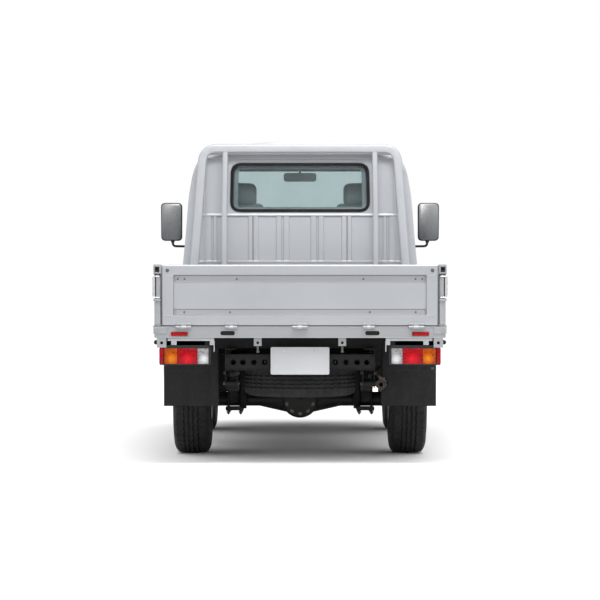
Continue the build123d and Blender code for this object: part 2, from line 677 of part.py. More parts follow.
WINDSCREEN_ZONE = front_prism(
    ((-725, BELT_Z), (725, BELT_Z), (655, ROOF_SPLIT_Z), (-655, ROOF_SPLIT_Z)),
    50,
    CAB_FRONT_Y - 600,
    CAB_FRONT_Y + 100,
)
REAR_WINDOW_ZONE = front_prism(
    (
        (-REAR_WINDOW_HALF, REAR_WINDOW_BOTTOM_Z),
        (REAR_WINDOW_HALF, REAR_WINDOW_BOTTOM_Z),
        (REAR_WINDOW_HALF - 7, REAR_WINDOW_TOP_Z),
        (-REAR_WINDOW_HALF + 7, REAR_WINDOW_TOP_Z),
    ),
    REAR_WINDOW_CORNER,
    CAB_BACK_Y - 100,
    CAB_BACK_Y + 2 * CAB_WALL,
)
CAB_OUTER = cab_envelope(0)
CAB_INNER = cab_envelope(CAB_WALL)

with BuildPart() as glass_skin:
    add(cab_envelope(GLASS_INSET))
    add(cab_envelope(GLASS_INSET + GLASS_THICKNESS), mode=Mode.SUBTRACT)
GLASS_SKIN = glass_skin.part

FAR = 3 * CAB_HALF_WIDTH
BACK_PANEL_BOTTOM_Z = FLOOR_TOP_Z - FLOOR_THICKNESS
ROOF_BOX = ((-FAR, CAB_BACK_Y - 100, ROOF_SPLIT_Z), (FAR, CAB_FRONT_Y + 100, 2 * ROOF_SPLIT_Z))
BACK_BOX = (
    (-BACK_SPLIT_X, CAB_BACK_Y - 100, BACK_PANEL_BOTTOM_Z),
    (BACK_SPLIT_X, CAB_BACK_Y + CAB_WALL + 10, ROOF_SPLIT_Z),
)
FRONT_BOX = ((-FAR, FRONT_SPLIT_Y, 0), (FAR, CAB_FRONT_Y + 100, BELT_Z + PILLAR_FOOT))


def cab_wall(corner, opposite):
    """The part of the cab's wall that lies in a box, with the windscreen and rear window cut out."""
    with BuildPart() as wall:
        add(CAB_OUTER)
        box_between(corner, opposite, mode=Mode.INTERSECT)
        add(CAB_INNER, mode=Mode.SUBTRACT)
        add(REAR_WINDOW_ZONE, mode=Mode.SUBTRACT)
        add(WINDSCREEN_ZONE, mode=Mode.SUBTRACT)
    return wall.part


def cut_wheel_arch():
    """Take the round opening over both front wheels out of the part being built."""
    reach = 2 * CAB_HALF_WIDTH
    rod((-reach, FRONT_AXLE_Y, AXLE_Z), (reach, FRONT_AXLE_Y, AXLE_Z), ARCH_RADIUS, mode=Mode.SUBTRACT)


with BuildPart() as cab_roof:
    add(cab_wall(*ROOF_BOX))
save(cab_roof, "cab_roof")

with BuildPart() as cab_back_panel:
    add(cab_wall(*BACK_BOX))
save(cab_back_panel, "cab_back_panel")

HEADLAMP_X = 590
HEADLAMP_Z = 800
HEADLAMP_WIDTH = 250
HEADLAMP_HEIGHT = 150
HEADLAMP_DEPTH = 42
with BuildPart() as headlamp_zone:
    with BuildSketch(Plane.XZ.offset(-(CAB_FRONT_Y - 300))):
        with Locations((-HEADLAMP_X, HEADLAMP_Z), (HEADLAMP_X, HEADLAMP_Z)):
            RectangleRounded(HEADLAMP_WIDTH, HEADLAMP_HEIGHT, 25)
    extrude(amount=-500)

with BuildPart() as cab_front_panel:
    add(cab_wall(*FRONT_BOX))
    add(headlamp_zone.part, mode=Mode.SUBTRACT)
save(cab_front_panel, "cab_front_panel")

with BuildPart() as headlamps:
    add(CAB_OUTER)
    add(cab_envelope(HEADLAMP_DEPTH), mode=Mode.SUBTRACT)
    add(headlamp_zone.part, mode=Mode.INTERSECT)
save(headlamps, "headlamps")

SIDE_INNER_X = CAB_HALF_WIDTH - 233
with BuildPart() as cab_sides:
    # The right side: everything outboard of the front and back panels, and the pillar above the front
    add(cab_wall((SIDE_INNER_X, CAB_BACK_Y - 100, 0), (FAR, FRONT_SPLIT_Y, ROOF_SPLIT_Z)))
    add(cab_wall((SIDE_INNER_X, FRONT_SPLIT_Y, BELT_Z + PILLAR_FOOT), (FAR, CAB_FRONT_Y, ROOF_SPLIT_Z)))
    box_between((0, BACK_BOX[0][1], 0), (BACK_SPLIT_X, BACK_BOX[1][1], ROOF_SPLIT_Z), mode=Mode.SUBTRACT)
    add(door_zone(MOVING_GAP), mode=Mode.SUBTRACT)
    cut_wheel_arch()
    mirror(about=Plane.YZ)
save(cab_sides, "cab_sides")

with BuildPart() as cab_glass:
    add(GLASS_SKIN)
    with BuildPart(mode=Mode.PRIVATE) as glass_zones:
        add(WINDSCREEN_ZONE)
        add(REAR_WINDOW_ZONE)
    add(glass_zones.part, mode=Mode.INTERSECT)
save(cab_glass, "cab_glass")

with BuildPart() as door_right:
    add(cab_wall((SIDE_INNER_X, DOOR_REAR_Y - 100, 0), (FAR, DOOR_FRONT_Y + 100, ROOF_SPLIT_Z)))
    add(door_zone(0), mode=Mode.INTERSECT)
    add(door_window_zone(), mode=Mode.SUBTRACT)
    cut_wheel_arch()
save_pair(door_right, "door")

with BuildPart() as door_glass_right:
    add(GLASS_SKIN)
    add(door_window_zone(), mode=Mode.INTERSECT)
save_pair(door_glass_right, "door_glass")

# ---- Cab floor and interior -------------------------------------------------------------------
SEAT_BOX_REAR_Y = CAB_BACK_Y + 240
SEAT_BOX_FRONT_Y = FRONT_AXLE_Y + 130
SEAT_BOX_HALF = 690
SEAT_BOX_TOP_Z = FLOOR_TOP_Z + SEAT_BOX_HEIGHT
FLOOR_DOOR_HALF = CAB_HALF_WIDTH - 93   # half width of the floor between the doors, clear of their swing
with BuildPart() as cab_floor:
    box_between(
        (-FAR, CAB_BACK_Y, FLOOR_TOP_Z - FLOOR_THICKNESS), (FAR, CAB_FRONT_Y, FLOOR_TOP_Z)
    )
    for side in LEFT_RIGHT:
        box_between(
            (side * FLOOR_DOOR_HALF, DOOR_REAR_Y - MOVING_GAP, 0),
            (side * FAR, DOOR_FRONT_Y + MOVING_GAP, FLOOR_TOP_Z),
            mode=Mode.SUBTRACT,
        )
    box_between(
        (-SEAT_BOX_HALF, SEAT_BOX_REAR_Y, FLOOR_TOP_Z), (SEAT_BOX_HALF, SEAT_BOX_FRONT_Y, SEAT_BOX_TOP_Z)
    )
    box_between(
        (-SEAT_BOX_HALF + SEAT_BOX_WALL, SEAT_BOX_REAR_Y + SEAT_BOX_WALL, 0),
        (SEAT_BOX_HALF - SEAT_BOX_WALL, SEAT_BOX_FRONT_Y - SEAT_BOX_WALL, SEAT_BOX_TOP_Z - SEAT_BOX_WALL),
        mode=Mode.SUBTRACT,
    )
    add(CAB_INNER, mode=Mode.INTERSECT)
save(cab_floor, "cab_floor")

SEAT_X = 460
CUSHION_WIDTH = 500
CUSHION_LENGTH = 480
CUSHION_HEIGHT = 140
BACKREST_HEIGHT = 640
BACKREST_THICKNESS = 120
BACKREST_WIDTH = 440
HEADREST_WIDTH = 280
HEADREST_HEIGHT = 150
SEAT_REAR_Y = SEAT_BOX_REAR_Y + 10
SEAT_BASE_Z = SEAT_BOX_TOP_Z + SEAT_GAP
with BuildPart() as seats:
    for side in LEFT_RIGHT:
        x = side * SEAT_X
        box_between(
            (x - CUSHION_WIDTH / 2, SEAT_REAR_Y + 60, SEAT_BASE_Z),
            (x + CUSHION_WIDTH / 2, SEAT_REAR_Y + 60 + CUSHION_LENGTH, SEAT_BASE_Z + CUSHION_HEIGHT),
        )
        box_between(
            (x - BACKREST_WIDTH / 2, SEAT_REAR_Y, SEAT_BASE_Z + 40),
            (x + BACKREST_WIDTH / 2, SEAT_REAR_Y + BACKREST_THICKNESS, SEAT_BASE_Z + 40 + BACKREST_HEIGHT),
        )
        head_low = SEAT_BASE_Z + 40 + BACKREST_HEIGHT
        box_between(
            (x - HEADREST_WIDTH / 2, SEAT_REAR_Y + 10, head_low),
            (x + HEADREST_WIDTH / 2, SEAT_REAR_Y + BACKREST_THICKNESS - 10, head_low + HEADREST_HEIGHT),
        )
save(seats, "seats")

STEERING_X = SEAT_X
STEERING_CENTRE = Vector(STEERING_X, FRONT_AXLE_Y + 260, SEAT_BOX_TOP_Z + 370)
STEERING_AXIS = Vector(0, -0.643, 0.766)
STEERING_RADIUS = 190
STEERING_GRIP = 14
COLUMN_RADIUS = 24
COLUMN_LENGTH = 420
DASH_REAR_Y = CAB_FRONT_Y - 430
DASH_BOTTOM_Z = 960
DASH_TOP_Z = BELT_Z - 25
with BuildPart() as dashboard:
    box_between((-FAR, DASH_REAR_Y, DASH_BOTTOM_Z), (FAR, CAB_FRONT_Y, DASH_TOP_Z))
    for side in LEFT_RIGHT:
        box_between((side * 700, DASH_REAR_Y, 0), (side * FAR, CAB_FRONT_Y, 2 * BELT_Z), mode=Mode.SUBTRACT)
    top = STEERING_CENTRE - STEERING_AXIS * 40
    rod(tuple(top), tuple(top - STEERING_AXIS * COLUMN_LENGTH), COLUMN_RADIUS)
    add(CAB_INNER, mode=Mode.INTERSECT)
save(dashboard, "dashboard")

STEERING_BOSS_RADIUS = 45
STEERING_BOSS_HEIGHT = 44
SPOKE_WIDTH = 30
SPOKE_THICKNESS = 12
with BuildPart() as steering_wheel:
    with Locations(Plane(origin=STEERING_CENTRE, x_dir=(1, 0, 0), z_dir=STEERING_AXIS)):
        Torus(STEERING_RADIUS, STEERING_GRIP)
        Cylinder(STEERING_BOSS_RADIUS, STEERING_BOSS_HEIGHT)
        Box(2 * STEERING_RADIUS, SPOKE_WIDTH, SPOKE_THICKNESS)
        with Locations((0, -STEERING_RADIUS / 2, 0)):
            Box(SPOKE_WIDTH, STEERING_RADIUS, SPOKE_THICKNESS)
save(steering_wheel, "steering_wheel")

INNER_MIRROR_Y = CAB_FRONT_Y - 460
INNER_MIRROR_HALF = 124
INNER_MIRROR_Z = 1876
INNER_MIRROR_HEIGHT = 66
with BuildPart() as inner_mirror:
    with BuildSketch(Plane.XZ.offset(-INNER_MIRROR_Y)):
        with Locations((0, INNER_MIRROR_Z)):
            RectangleRounded(2 * INNER_MIRROR_HALF, INNER_MIRROR_HEIGHT, 22)
    extrude(amount=-20)
    rod((0, INNER_MIRROR_Y + 12, INNER_MIRROR_Z), (0, INNER_MIRROR_Y + 12, ROOF_SPLIT_Z + 200), 8)
    add(CAB_INNER, mode=Mode.INTERSECT)
save(inner_mirror, "inner_mirror")

# ---- Outside fittings of the cab --------------------------------------------------------------
BUMPER_BOTTOM_Z = 370
BUMPER_TOP_Z = 610
BUMPER_THICKNESS = 70
BUMPER_HALF_WIDTH = CAB_HALF_WIDTH - 18
BUMPER_RETURN = 230     # how far back its ends wrap


def bumper_slab(inset):
    """The bumper's outline seen from above, or the same moved inward, as a slab of its height."""
    rear_y = FRONT_Y - 2 * BUMPER_RETURN - FRONT_BOW
    with BuildPart() as slab:
        plan = plan_outline(BUMPER_BOTTOM_Z, rear_y - inset, BUMPER_HALF_WIDTH - inset, FRONT_Y - inset)
        extrude(plan, amount=BUMPER_TOP_Z - BUMPER_BOTTOM_Z)
    return slab.part


with BuildPart() as front_bumper:
    add(bumper_slab(0))
    add(bumper_slab(BUMPER_THICKNESS), mode=Mode.SUBTRACT)
    box_between((-FAR, 0, 0), (FAR, FRONT_Y - BUMPER_RETURN, BELT_Z), mode=Mode.SUBTRACT)
    add(CAB_OUTER, mode=Mode.SUBTRACT)
save(front_bumper, "front_bumper")

MIRROR_X = 975
MIRROR_WIDTH = 163
MIRROR_LOW_Z = 1391
MIRROR_TOP_Z = 1682
MIRROR_DEPTH = 58
MIRROR_Y = DOOR_FRONT_Y - 215
STALK_RADIUS = 9
STALK_Z = MIRROR_LOW_Z - 38
STALK_BASE_Y = DOOR_FRONT_Y - 85
MIRROR_FOOT_HALF_LENGTH = 28
MIRROR_FOOT_HALF_HEIGHT = 75
with BuildPart() as mirror_right:
    with BuildSketch(Plane.XZ.offset(-(MIRROR_Y - MIRROR_DEPTH / 2))):
        with Locations((MIRROR_X, (MIRROR_LOW_Z + MIRROR_TOP_Z) / 2)):
            RectangleRounded(MIRROR_WIDTH, MIRROR_TOP_Z - MIRROR_LOW_Z, 30)
    extrude(amount=-MIRROR_DEPTH)
    with BuildLine() as stalk:
        FilletPolyline(
            (MIRROR_X - 9, MIRROR_Y, MIRROR_LOW_Z + 20),
            (MIRROR_X - 9, MIRROR_Y, STALK_Z),
            (CAB_HALF_WIDTH - 60, STALK_BASE_Y, STALK_Z),
            radius=18,
        )
    with BuildSketch(Plane(origin=stalk.line @ 0, z_dir=stalk.line % 0)):
        Circle(STALK_RADIUS)
    sweep(path=stalk.line)
    box_between(
        (CAB_HALF_WIDTH - 55, STALK_BASE_Y - MIRROR_FOOT_HALF_LENGTH, STALK_Z - MIRROR_FOOT_HALF_HEIGHT),
        (CAB_HALF_WIDTH + 15, STALK_BASE_Y + MIRROR_FOOT_HALF_LENGTH, STALK_Z + MIRROR_FOOT_HALF_HEIGHT),
    )
    add(CAB_OUTER, mode=Mode.SUBTRACT)
save_pair(mirror_right, "mirror")

# ---- Rear axle and springs --------------------------------------------------------------------
BACKING_PLATE_X = REAR_TRACK / 2 - 105
BACKING_PLATE = 8
PINION_RADIUS = 48
SPRING_PAD_HALF = 50
with BuildPart() as rear_axle:
    rod((-BACKING_PLATE_X, REAR_AXLE_Y, AXLE_Z), (BACKING_PLATE_X, REAR_AXLE_Y, AXLE_Z), AXLE_TUBE_RADIUS)
    spindle_end = REAR_TRACK / 2 + 10
    rod((-spindle_end, REAR_AXLE_Y, AXLE_Z), (spindle_end, REAR_AXLE_Y, AXLE_Z), SPINDLE_RADIUS)
    rod((0, REAR_AXLE_Y - DIFF_HALF_DEPTH, AXLE_Z), (0, REAR_AXLE_Y + DIFF_HALF_DEPTH, AXLE_Z), DIFF_RADIUS)
    rims = rear_axle.edges().filter_by(GeomType.CIRCLE).filter_by(lambda e: abs(e.radius - DIFF_RADIUS) < 0.1)
    fillet(rims, 45)
    rod((0, REAR_AXLE_Y, AXLE_Z), (0, REAR_AXLE_Y + PINION_REACH, AXLE_Z), PINION_RADIUS)
    for side in LEFT_RIGHT:
        with Locations(Plane(origin=(side * 60, REAR_AXLE_Y, AXLE_Z), z_dir=(side, 0, 0))):
            Cone(DIFF_RADIUS - 28, AXLE_TUBE_RADIUS, 190, align=(Align.CENTER, Align.CENTER, Align.MIN))
        rod(
            (side * (BACKING_PLATE_X - BACKING_PLATE), REAR_AXLE_Y, AXLE_Z),
            (side * BACKING_PLATE_X, REAR_AXLE_Y, AXLE_Z),
            DRUM_RADIUS - 8,
        )
        pad_top = AXLE_Z + AXLE_TUBE_RADIUS + AXLE_PAD_HEIGHT
        box_between(
            (side * SPRING_X - SPRING_WIDTH / 2, REAR_AXLE_Y - SPRING_PAD_HALF, AXLE_Z),
            (side * SPRING_X + SPRING_WIDTH / 2, REAR_AXLE_Y + SPRING_PAD_HALF, pad_top),
        )
save(rear_axle, "rear_axle")

SPRING_LOW_Z = AXLE_Z + AXLE_TUBE_RADIUS + AXLE_PAD_HEIGHT + SEAT_GAP
LEAF_LAP = 0.2          # leaves run this far into each other, so that they are one solid
LEAF_STEP = 0.27        # each leaf is shorter than the one above by this share
HANGER_WALL = 6
HANGER_HALF = 25
CLAMP_BOLT_Y = 56
CLAMP_BOLT_RADIUS = 6
CLAMP_PLATE_THICKNESS = 20
CLAMP_TOP_THICKNESS = 12
with BuildPart() as leaf_springs:
    for side in LEFT_RIGHT:
        inner_x = side * SPRING_X - SPRING_WIDTH / 2
        for i in range(LEAF_COUNT):
            reach = 1 - LEAF_STEP * i
            low = SPRING_LOW_Z + LEAF * (LEAF_COUNT - 1 - i)
            rise = (SPRING_EYE_Z - SPRING_LOW_Z - LEAF * (LEAF_COUNT - 0.5)) * reach**2
            front = REAR_AXLE_Y + (SPRING_FRONT_Y - REAR_AXLE_Y) * reach
            rear = REAR_AXLE_Y + (SPRING_REAR_Y - REAR_AXLE_Y) * reach
            with BuildSketch(Plane.YZ.offset(inner_x)):
                with BuildLine():
                    top = low + LEAF + LEAF_LAP
                    lower = ThreePointArc((rear, low + rise), (REAR_AXLE_Y, low), (front, low + rise))
                    end = Line(lower @ 1, (front, top + rise))
                    upper = ThreePointArc(end @ 1, (REAR_AXLE_Y, top), (rear, top + rise))
                    Line(upper @ 1, lower @ 0)
                make_face()
            extrude(amount=SPRING_WIDTH)
        for y in (SPRING_FRONT_Y, SPRING_REAR_Y):
            rod((inner_x, y, SPRING_EYE_Z), (inner_x + SPRING_WIDTH, y, SPRING_EYE_Z), EYE_RADIUS)
        # Front hanger and rear shackle, up to the rail
        for y in (SPRING_FRONT_Y, SPRING_REAR_Y):
            for wall_x in (inner_x - HANGER_WALL, inner_x + SPRING_WIDTH):
                box_between(
                    (wall_x, y - HANGER_HALF, SPRING_EYE_Z - EYE_RADIUS - 8),
                    (wall_x + HANGER_WALL, y + HANGER_HALF, RAIL_BOTTOM_Z),
                )
        # Plate under the axle, with its four bolts, and the plate that they clamp on top
        low = AXLE_Z - AXLE_TUBE_RADIUS - 25
        top = SPRING_LOW_Z + LEAF * LEAF_COUNT + CLAMP_TOP_THICKNESS
        box_between(
            (side * SPRING_X - 55, REAR_AXLE_Y - 68, low),
            (side * SPRING_X + 55, REAR_AXLE_Y + 68, low + CLAMP_PLATE_THICKNESS),
        )
        for x in (-SPRING_WIDTH / 2 - 8, SPRING_WIDTH / 2 + 8):
            for y in (-CLAMP_BOLT_Y, CLAMP_BOLT_Y):
                foot = (side * SPRING_X + x, REAR_AXLE_Y + y, low - 25)
                rod(foot, (foot[0], foot[1], top), CLAMP_BOLT_RADIUS)
        box_between(
            (side * SPRING_X - 46, REAR_AXLE_Y - 62, top - CLAMP_TOP_THICKNESS),
            (side * SPRING_X + 46, REAR_AXLE_Y + 62, top),
        )
save(leaf_springs, "leaf_springs")

# ---- Front suspension and knuckles ------------------------------------------------------------
BEAM_HALF = 330
BEAM_DEPTH = 90
BEAM_HEIGHT = 90
BEAM_LOW_Z = KNUCKLE_LOW_Z - MOVING_GAP - ARM_THICKNESS
TOWER_X = 330
KINGPIN_RADIUS = 9
RACK_Y = FRONT_AXLE_Y - 150
RACK_RADIUS = 24


def wishbone(side, root_x, root_half, low_z):
    """A flat triangular arm from the beam out to the knuckle, bored for its pin."""
    with BuildPart() as arm:
        with BuildSketch(Plane.XY.offset(low_z)):
            with BuildLine():
                Polyline(
                    (side * root_x, FRONT_AXLE_Y - root_half),
                    (side * (KINGPIN_X + 17), FRONT_AXLE_Y - 22),
                    (side * (KINGPIN_X + 17), FRONT_AXLE_Y + 22),
                    (side * root_x, FRONT_AXLE_Y + root_half),
                    close=True,
                )
            make_face()
        extrude(amount=ARM_THICKNESS)
        rod(
            (side * KINGPIN_X, FRONT_AXLE_Y, low_z - 1),
            (side * KINGPIN_X, FRONT_AXLE_Y, low_z + ARM_THICKNESS + 1),
            KINGPIN_RADIUS + PIN_CLEARANCE,
            mode=Mode.SUBTRACT,
        )
    return arm.part


with BuildPart() as front_suspension:
    box_between(
        (-BEAM_HALF, FRONT_AXLE_Y - BEAM_DEPTH / 2, BEAM_LOW_Z),
        (BEAM_HALF, FRONT_AXLE_Y + BEAM_DEPTH / 2, BEAM_LOW_Z + BEAM_HEIGHT),
    )
    for side in LEFT_RIGHT:
        add(wishbone(side, BEAM_HALF - 30, 130, BEAM_LOW_Z))
        add(wishbone(side, TOWER_X + 20, 90, KNUCKLE_TOP_Z + MOVING_GAP))
        box_between(
            (side * TOWER_X, FRONT_AXLE_Y - 40, BEAM_LOW_Z),
            (side * (TOWER_X + 65), FRONT_AXLE_Y + 40, RAIL_BOTTOM_Z),
        )
    # Steering rack, carried on the back of the beam
    box_between((-60, RACK_Y, BEAM_LOW_Z + 20), (60, FRONT_AXLE_Y - BEAM_DEPTH / 2, BEAM_LOW_Z + 60))
    rod((-BEAM_HALF, RACK_Y, BEAM_LOW_Z + 45), (BEAM_HALF, RACK_Y, BEAM_LOW_Z + 45), RACK_RADIUS)
save(front_suspension, "front_suspension")

with BuildPart() as knuckle_right:
    box_between(
        (KINGPIN_X - KNUCKLE_SIZE / 2, FRONT_AXLE_Y - KNUCKLE_SIZE / 2, KNUCKLE_LOW_Z),
        (KINGPIN_X + KNUCKLE_SIZE / 2, FRONT_AXLE_Y + KNUCKLE_SIZE / 2, KNUCKLE_TOP_Z),
    )
    fillet(knuckle_right.edges().filter_by(Axis.Z), 16)
    rod((KINGPIN_X, FRONT_AXLE_Y, AXLE_Z), (FRONT_TRACK / 2 + 8, FRONT_AXLE_Y, AXLE_Z), SPINDLE_RADIUS)
    # The pin that it turns on, up and down through the wishbones
    rod(
        (KINGPIN_X, FRONT_AXLE_Y, KNUCKLE_LOW_Z - MOVING_GAP - ARM_THICKNESS),
        (KINGPIN_X, FRONT_AXLE_Y, KNUCKLE_TOP_Z + MOVING_GAP + ARM_THICKNESS),
        KINGPIN_RADIUS,
    )
    # Steering arm
    box_between(
        (KINGPIN_X - 14, FRONT_AXLE_Y - 135, KNUCKLE_LOW_Z + 20),
        (KINGPIN_X + 14, FRONT_AXLE_Y, KNUCKLE_LOW_Z + 42),
    )
save_pair(knuckle_right, "knuckle")

# ---- Drive line, exhaust, tank ----------------------------------------------------------------
ENGINE_FRONT_Y = FRONT_AXLE_Y + 90
ENGINE_REAR_Y = SEAT_BOX_REAR_Y + 40
ENGINE_BOTTOM_Z = 400
ENGINE_HALF = 240
GEARBOX_REAR_Y = ENGINE_REAR_Y - 360
GEARBOX_Z = 430
GEARBOX_HALF = 120
ENGINE_TOP_Z = SEAT_BOX_TOP_Z - SEAT_BOX_WALL - 15
with BuildPart() as engine_block:
    box_between(
        (-ENGINE_HALF, ENGINE_REAR_Y, ENGINE_BOTTOM_Z), (ENGINE_HALF, ENGINE_FRONT_Y, ENGINE_TOP_Z)
    )
    box_between(
        (-GEARBOX_HALF, GEARBOX_REAR_Y, GEARBOX_Z - 90), (GEARBOX_HALF, ENGINE_REAR_Y, GEARBOX_Z + 95)
    )
save(engine_block, "engine_block")

SHAFT_RADIUS = 32
SHAFT_FLANGE_RADIUS = 52
SHAFT_FLANGE_THICKNESS = 24
with BuildPart() as driveshaft:
    pinion_y = REAR_AXLE_Y + PINION_REACH
    rod((0, pinion_y, AXLE_Z), (0, GEARBOX_REAR_Y, GEARBOX_Z), SHAFT_RADIUS)
    rod((0, pinion_y, AXLE_Z), (0, pinion_y + SHAFT_FLANGE_THICKNESS, AXLE_Z), SHAFT_FLANGE_RADIUS)
    box_between((-FAR, GEARBOX_REAR_Y, 0), (FAR, FRONT_Y, FAR), mode=Mode.SUBTRACT)
    box_between((-FAR, REAR_Y, 0), (FAR, pinion_y, FAR), mode=Mode.SUBTRACT)
save(driveshaft, "driveshaft")

PIPE_RADIUS = 19
TAILPIPE_X = 473
TAILPIPE_Z = 450
TAIL_Y = REAR_Y + 375
MUFFLER_X = 560
MUFFLER_Z = 430
MUFFLER_RADIUS = 78
MUFFLER_FRONT_Y = BED_FRONT_Y - 380
MUFFLER_REAR_Y = MUFFLER_FRONT_Y - 460
FLANGE_SIZE = 58
FLANGE_THICKNESS = 9
TAIL_BORE_RADIUS = 12
PIPE_BEND = 45
with BuildPart() as exhaust:
    for route in (
        (
            (TAILPIPE_X, TAIL_Y, TAILPIPE_Z),
            (TAILPIPE_X, REAR_AXLE_Y + 300, TAILPIPE_Z),
            (MUFFLER_X, MUFFLER_REAR_Y - 60, MUFFLER_Z),
            (MUFFLER_X, MUFFLER_REAR_Y + 40, MUFFLER_Z),
        ),
        (
            (MUFFLER_X, MUFFLER_FRONT_Y - 40, MUFFLER_Z),
            (MUFFLER_X, MUFFLER_FRONT_Y + 90, MUFFLER_Z),
            (ENGINE_HALF + 60, ENGINE_REAR_Y - 60, ENGINE_BOTTOM_Z + 60),
            (ENGINE_HALF + 60, ENGINE_REAR_Y + 60, ENGINE_BOTTOM_Z + 60),
            (ENGINE_HALF, ENGINE_REAR_Y + 120, ENGINE_BOTTOM_Z + 60),
        ),
    ):
        with BuildLine() as run:
            FilletPolyline(*route, radius=PIPE_BEND)
        with BuildSketch(Plane(origin=run.line @ 0, z_dir=run.line % 0)):
            Circle(PIPE_RADIUS)
        sweep(path=run.line)
    rod((MUFFLER_X, MUFFLER_REAR_Y, MUFFLER_Z), (MUFFLER_X, MUFFLER_FRONT_Y, MUFFLER_Z), MUFFLER_RADIUS)
    with BuildSketch(Plane.XZ.offset(-TAIL_Y)):
        with Locations((TAILPIPE_X, TAILPIPE_Z)):
            RectangleRounded(FLANGE_SIZE, FLANGE_SIZE, 14, rotation=45)
    extrude(amount=-FLANGE_THICKNESS)
    rod(
        (TAILPIPE_X, TAIL_Y - 10, TAILPIPE_Z),
        (TAILPIPE_X, TAIL_Y + 60, TAILPIPE_Z),
        TAIL_BORE_RADIUS,
        mode=Mode.SUBTRACT,
    )
    box_between((0, REAR_Y, 0), (ENGINE_HALF, FRONT_Y, FAR), mode=Mode.SUBTRACT)
save(exhaust, "exhaust")

TANK_LOW = (-770, MUFFLER_REAR_Y - 40, 350)
TANK_HIGH = (-RAIL_OUTER_X - 40, MUFFLER_FRONT_Y + 60, 600)
TANK_CORNER = 35
with BuildPart() as fuel_tank:
    box_between(TANK_LOW, TANK_HIGH)
    fillet(fuel_tank.edges().filter_by(Axis.Y), TANK_CORNER)
    for y in (TANK_LOW[1] + 120, TANK_HIGH[1] - 120):
        box_between(
            (TANK_HIGH[0] - 60, y - 20, TANK_HIGH[2] - 60), (-RAIL_OUTER_X, y + 20, TANK_HIGH[2] - 10)
        )
save(fuel_tank, "fuel_tank")

# ---- Rear fittings ----------------------------------------------------------------------------
FLAP_INNER_X = 480
FLAP_OUTER_X = 806
FLAP_BOTTOM_Z = 316
FLAP_TOP_Z = SILL_BOTTOM_Z - 24
FLAP_THICKNESS = 6
FLAP_Y = REAR_AXLE_Y - 575
FLAP_HANGER_HALF = 120
FLAP_HANGER_DEPTH = 24
with BuildPart() as mud_flaps:
    for side in LEFT_RIGHT:
        box_between(
            (side * FLAP_INNER_X, FLAP_Y, FLAP_BOTTOM_Z),
            (side * FLAP_OUTER_X, FLAP_Y + FLAP_THICKNESS, FLAP_TOP_Z),
        )
        # Hanger between the flap and the bed
        middle = side * (FLAP_INNER_X + FLAP_OUTER_X) / 2
        box_between(
            (middle - FLAP_HANGER_HALF, FLAP_Y + FLAP_THICKNESS, FLAP_TOP_Z - 60),
            (middle + FLAP_HANGER_HALF, FLAP_Y + FLAP_THICKNESS + FLAP_HANGER_DEPTH, BEARER_TOP_Z),
        )
    rod(
        (TAILPIPE_X, FLAP_Y - 10, TAILPIPE_Z),
        (TAILPIPE_X, FLAP_Y + 20, TAILPIPE_Z),
        PIPE_RADIUS + 12,
        mode=Mode.SUBTRACT,
    )
save(mud_flaps, "mud_flaps")

LAMP_FACE_Y = REAR_SILL_Y + LENS_THICKNESS
with BuildPart() as tail_lamp_housings:
    for side in LEFT_RIGHT:
        box_between(
            (side * LAMP_INNER_X, LAMP_FACE_Y, LAMP_BOTTOM_Z),
            (side * LAMP_OUTER_X, LAMP_FACE_Y + LAMP_DEPTH, LAMP_TOP_Z),
        )
save(tail_lamp_housings, "tail_lamp_housings")

with BuildPart() as tail_lamp_lenses:
    for side in LEFT_RIGHT:
        for near, far in LENS_EDGES_X + (SIDE_STRIP_X,):
            box_between(
                (side * (near + LENS_GAP), REAR_SILL_Y, LENS_BOTTOM_Z),
                (side * (far - LENS_GAP), LAMP_FACE_Y, LENS_TOP_Z),
            )
save(tail_lamp_lenses, "tail_lamp_lenses")

with BuildPart() as number_plate:
    box_between(
        (-PLATE_HALF_WIDTH, PLATE_Y - PLATE_THICKNESS, PLATE_BOTTOM_Z),
        (PLATE_HALF_WIDTH, PLATE_Y, PLATE_BOTTOM_Z + PLATE_HEIGHT),
    )
    # Block that carries it on the rear crossmember
    box_between(
        (-PLATE_BLOCK_HALF, PLATE_Y, REAR_CROSSMEMBER_Z - PLATE_BLOCK_HALF_HEIGHT),
        (PLATE_BLOCK_HALF, REAR_CROSSMEMBER_Y - RAIL_WALL, REAR_CROSSMEMBER_Z + PLATE_BLOCK_HALF_HEIGHT),
    )
save(number_plate, "number_plate")
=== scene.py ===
from math import cos, exp, hypot, pi, radians, sin

import bmesh
import bpy
from mathutils import Matrix, Vector
from mathutils.bvhtree import BVHTree


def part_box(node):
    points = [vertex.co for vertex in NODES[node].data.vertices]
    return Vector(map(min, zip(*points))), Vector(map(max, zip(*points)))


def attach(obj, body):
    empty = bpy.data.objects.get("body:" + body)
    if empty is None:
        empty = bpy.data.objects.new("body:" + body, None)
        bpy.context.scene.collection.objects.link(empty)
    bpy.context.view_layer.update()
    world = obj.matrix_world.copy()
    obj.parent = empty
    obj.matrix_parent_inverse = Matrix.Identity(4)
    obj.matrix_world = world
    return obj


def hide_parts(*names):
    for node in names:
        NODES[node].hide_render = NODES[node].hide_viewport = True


# Light cab-over truck with a dropside bed.  Metres, +Z up, +Y forward, +X to the right-hand side.

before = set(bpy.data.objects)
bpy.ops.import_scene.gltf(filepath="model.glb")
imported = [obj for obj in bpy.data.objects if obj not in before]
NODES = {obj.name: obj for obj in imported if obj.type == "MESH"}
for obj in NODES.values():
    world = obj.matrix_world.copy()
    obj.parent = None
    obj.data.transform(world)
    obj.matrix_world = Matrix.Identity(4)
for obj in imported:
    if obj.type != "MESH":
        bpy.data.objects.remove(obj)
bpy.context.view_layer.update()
SIDES = {"left": -1, "right": 1}
CHASSIS = "chassis"

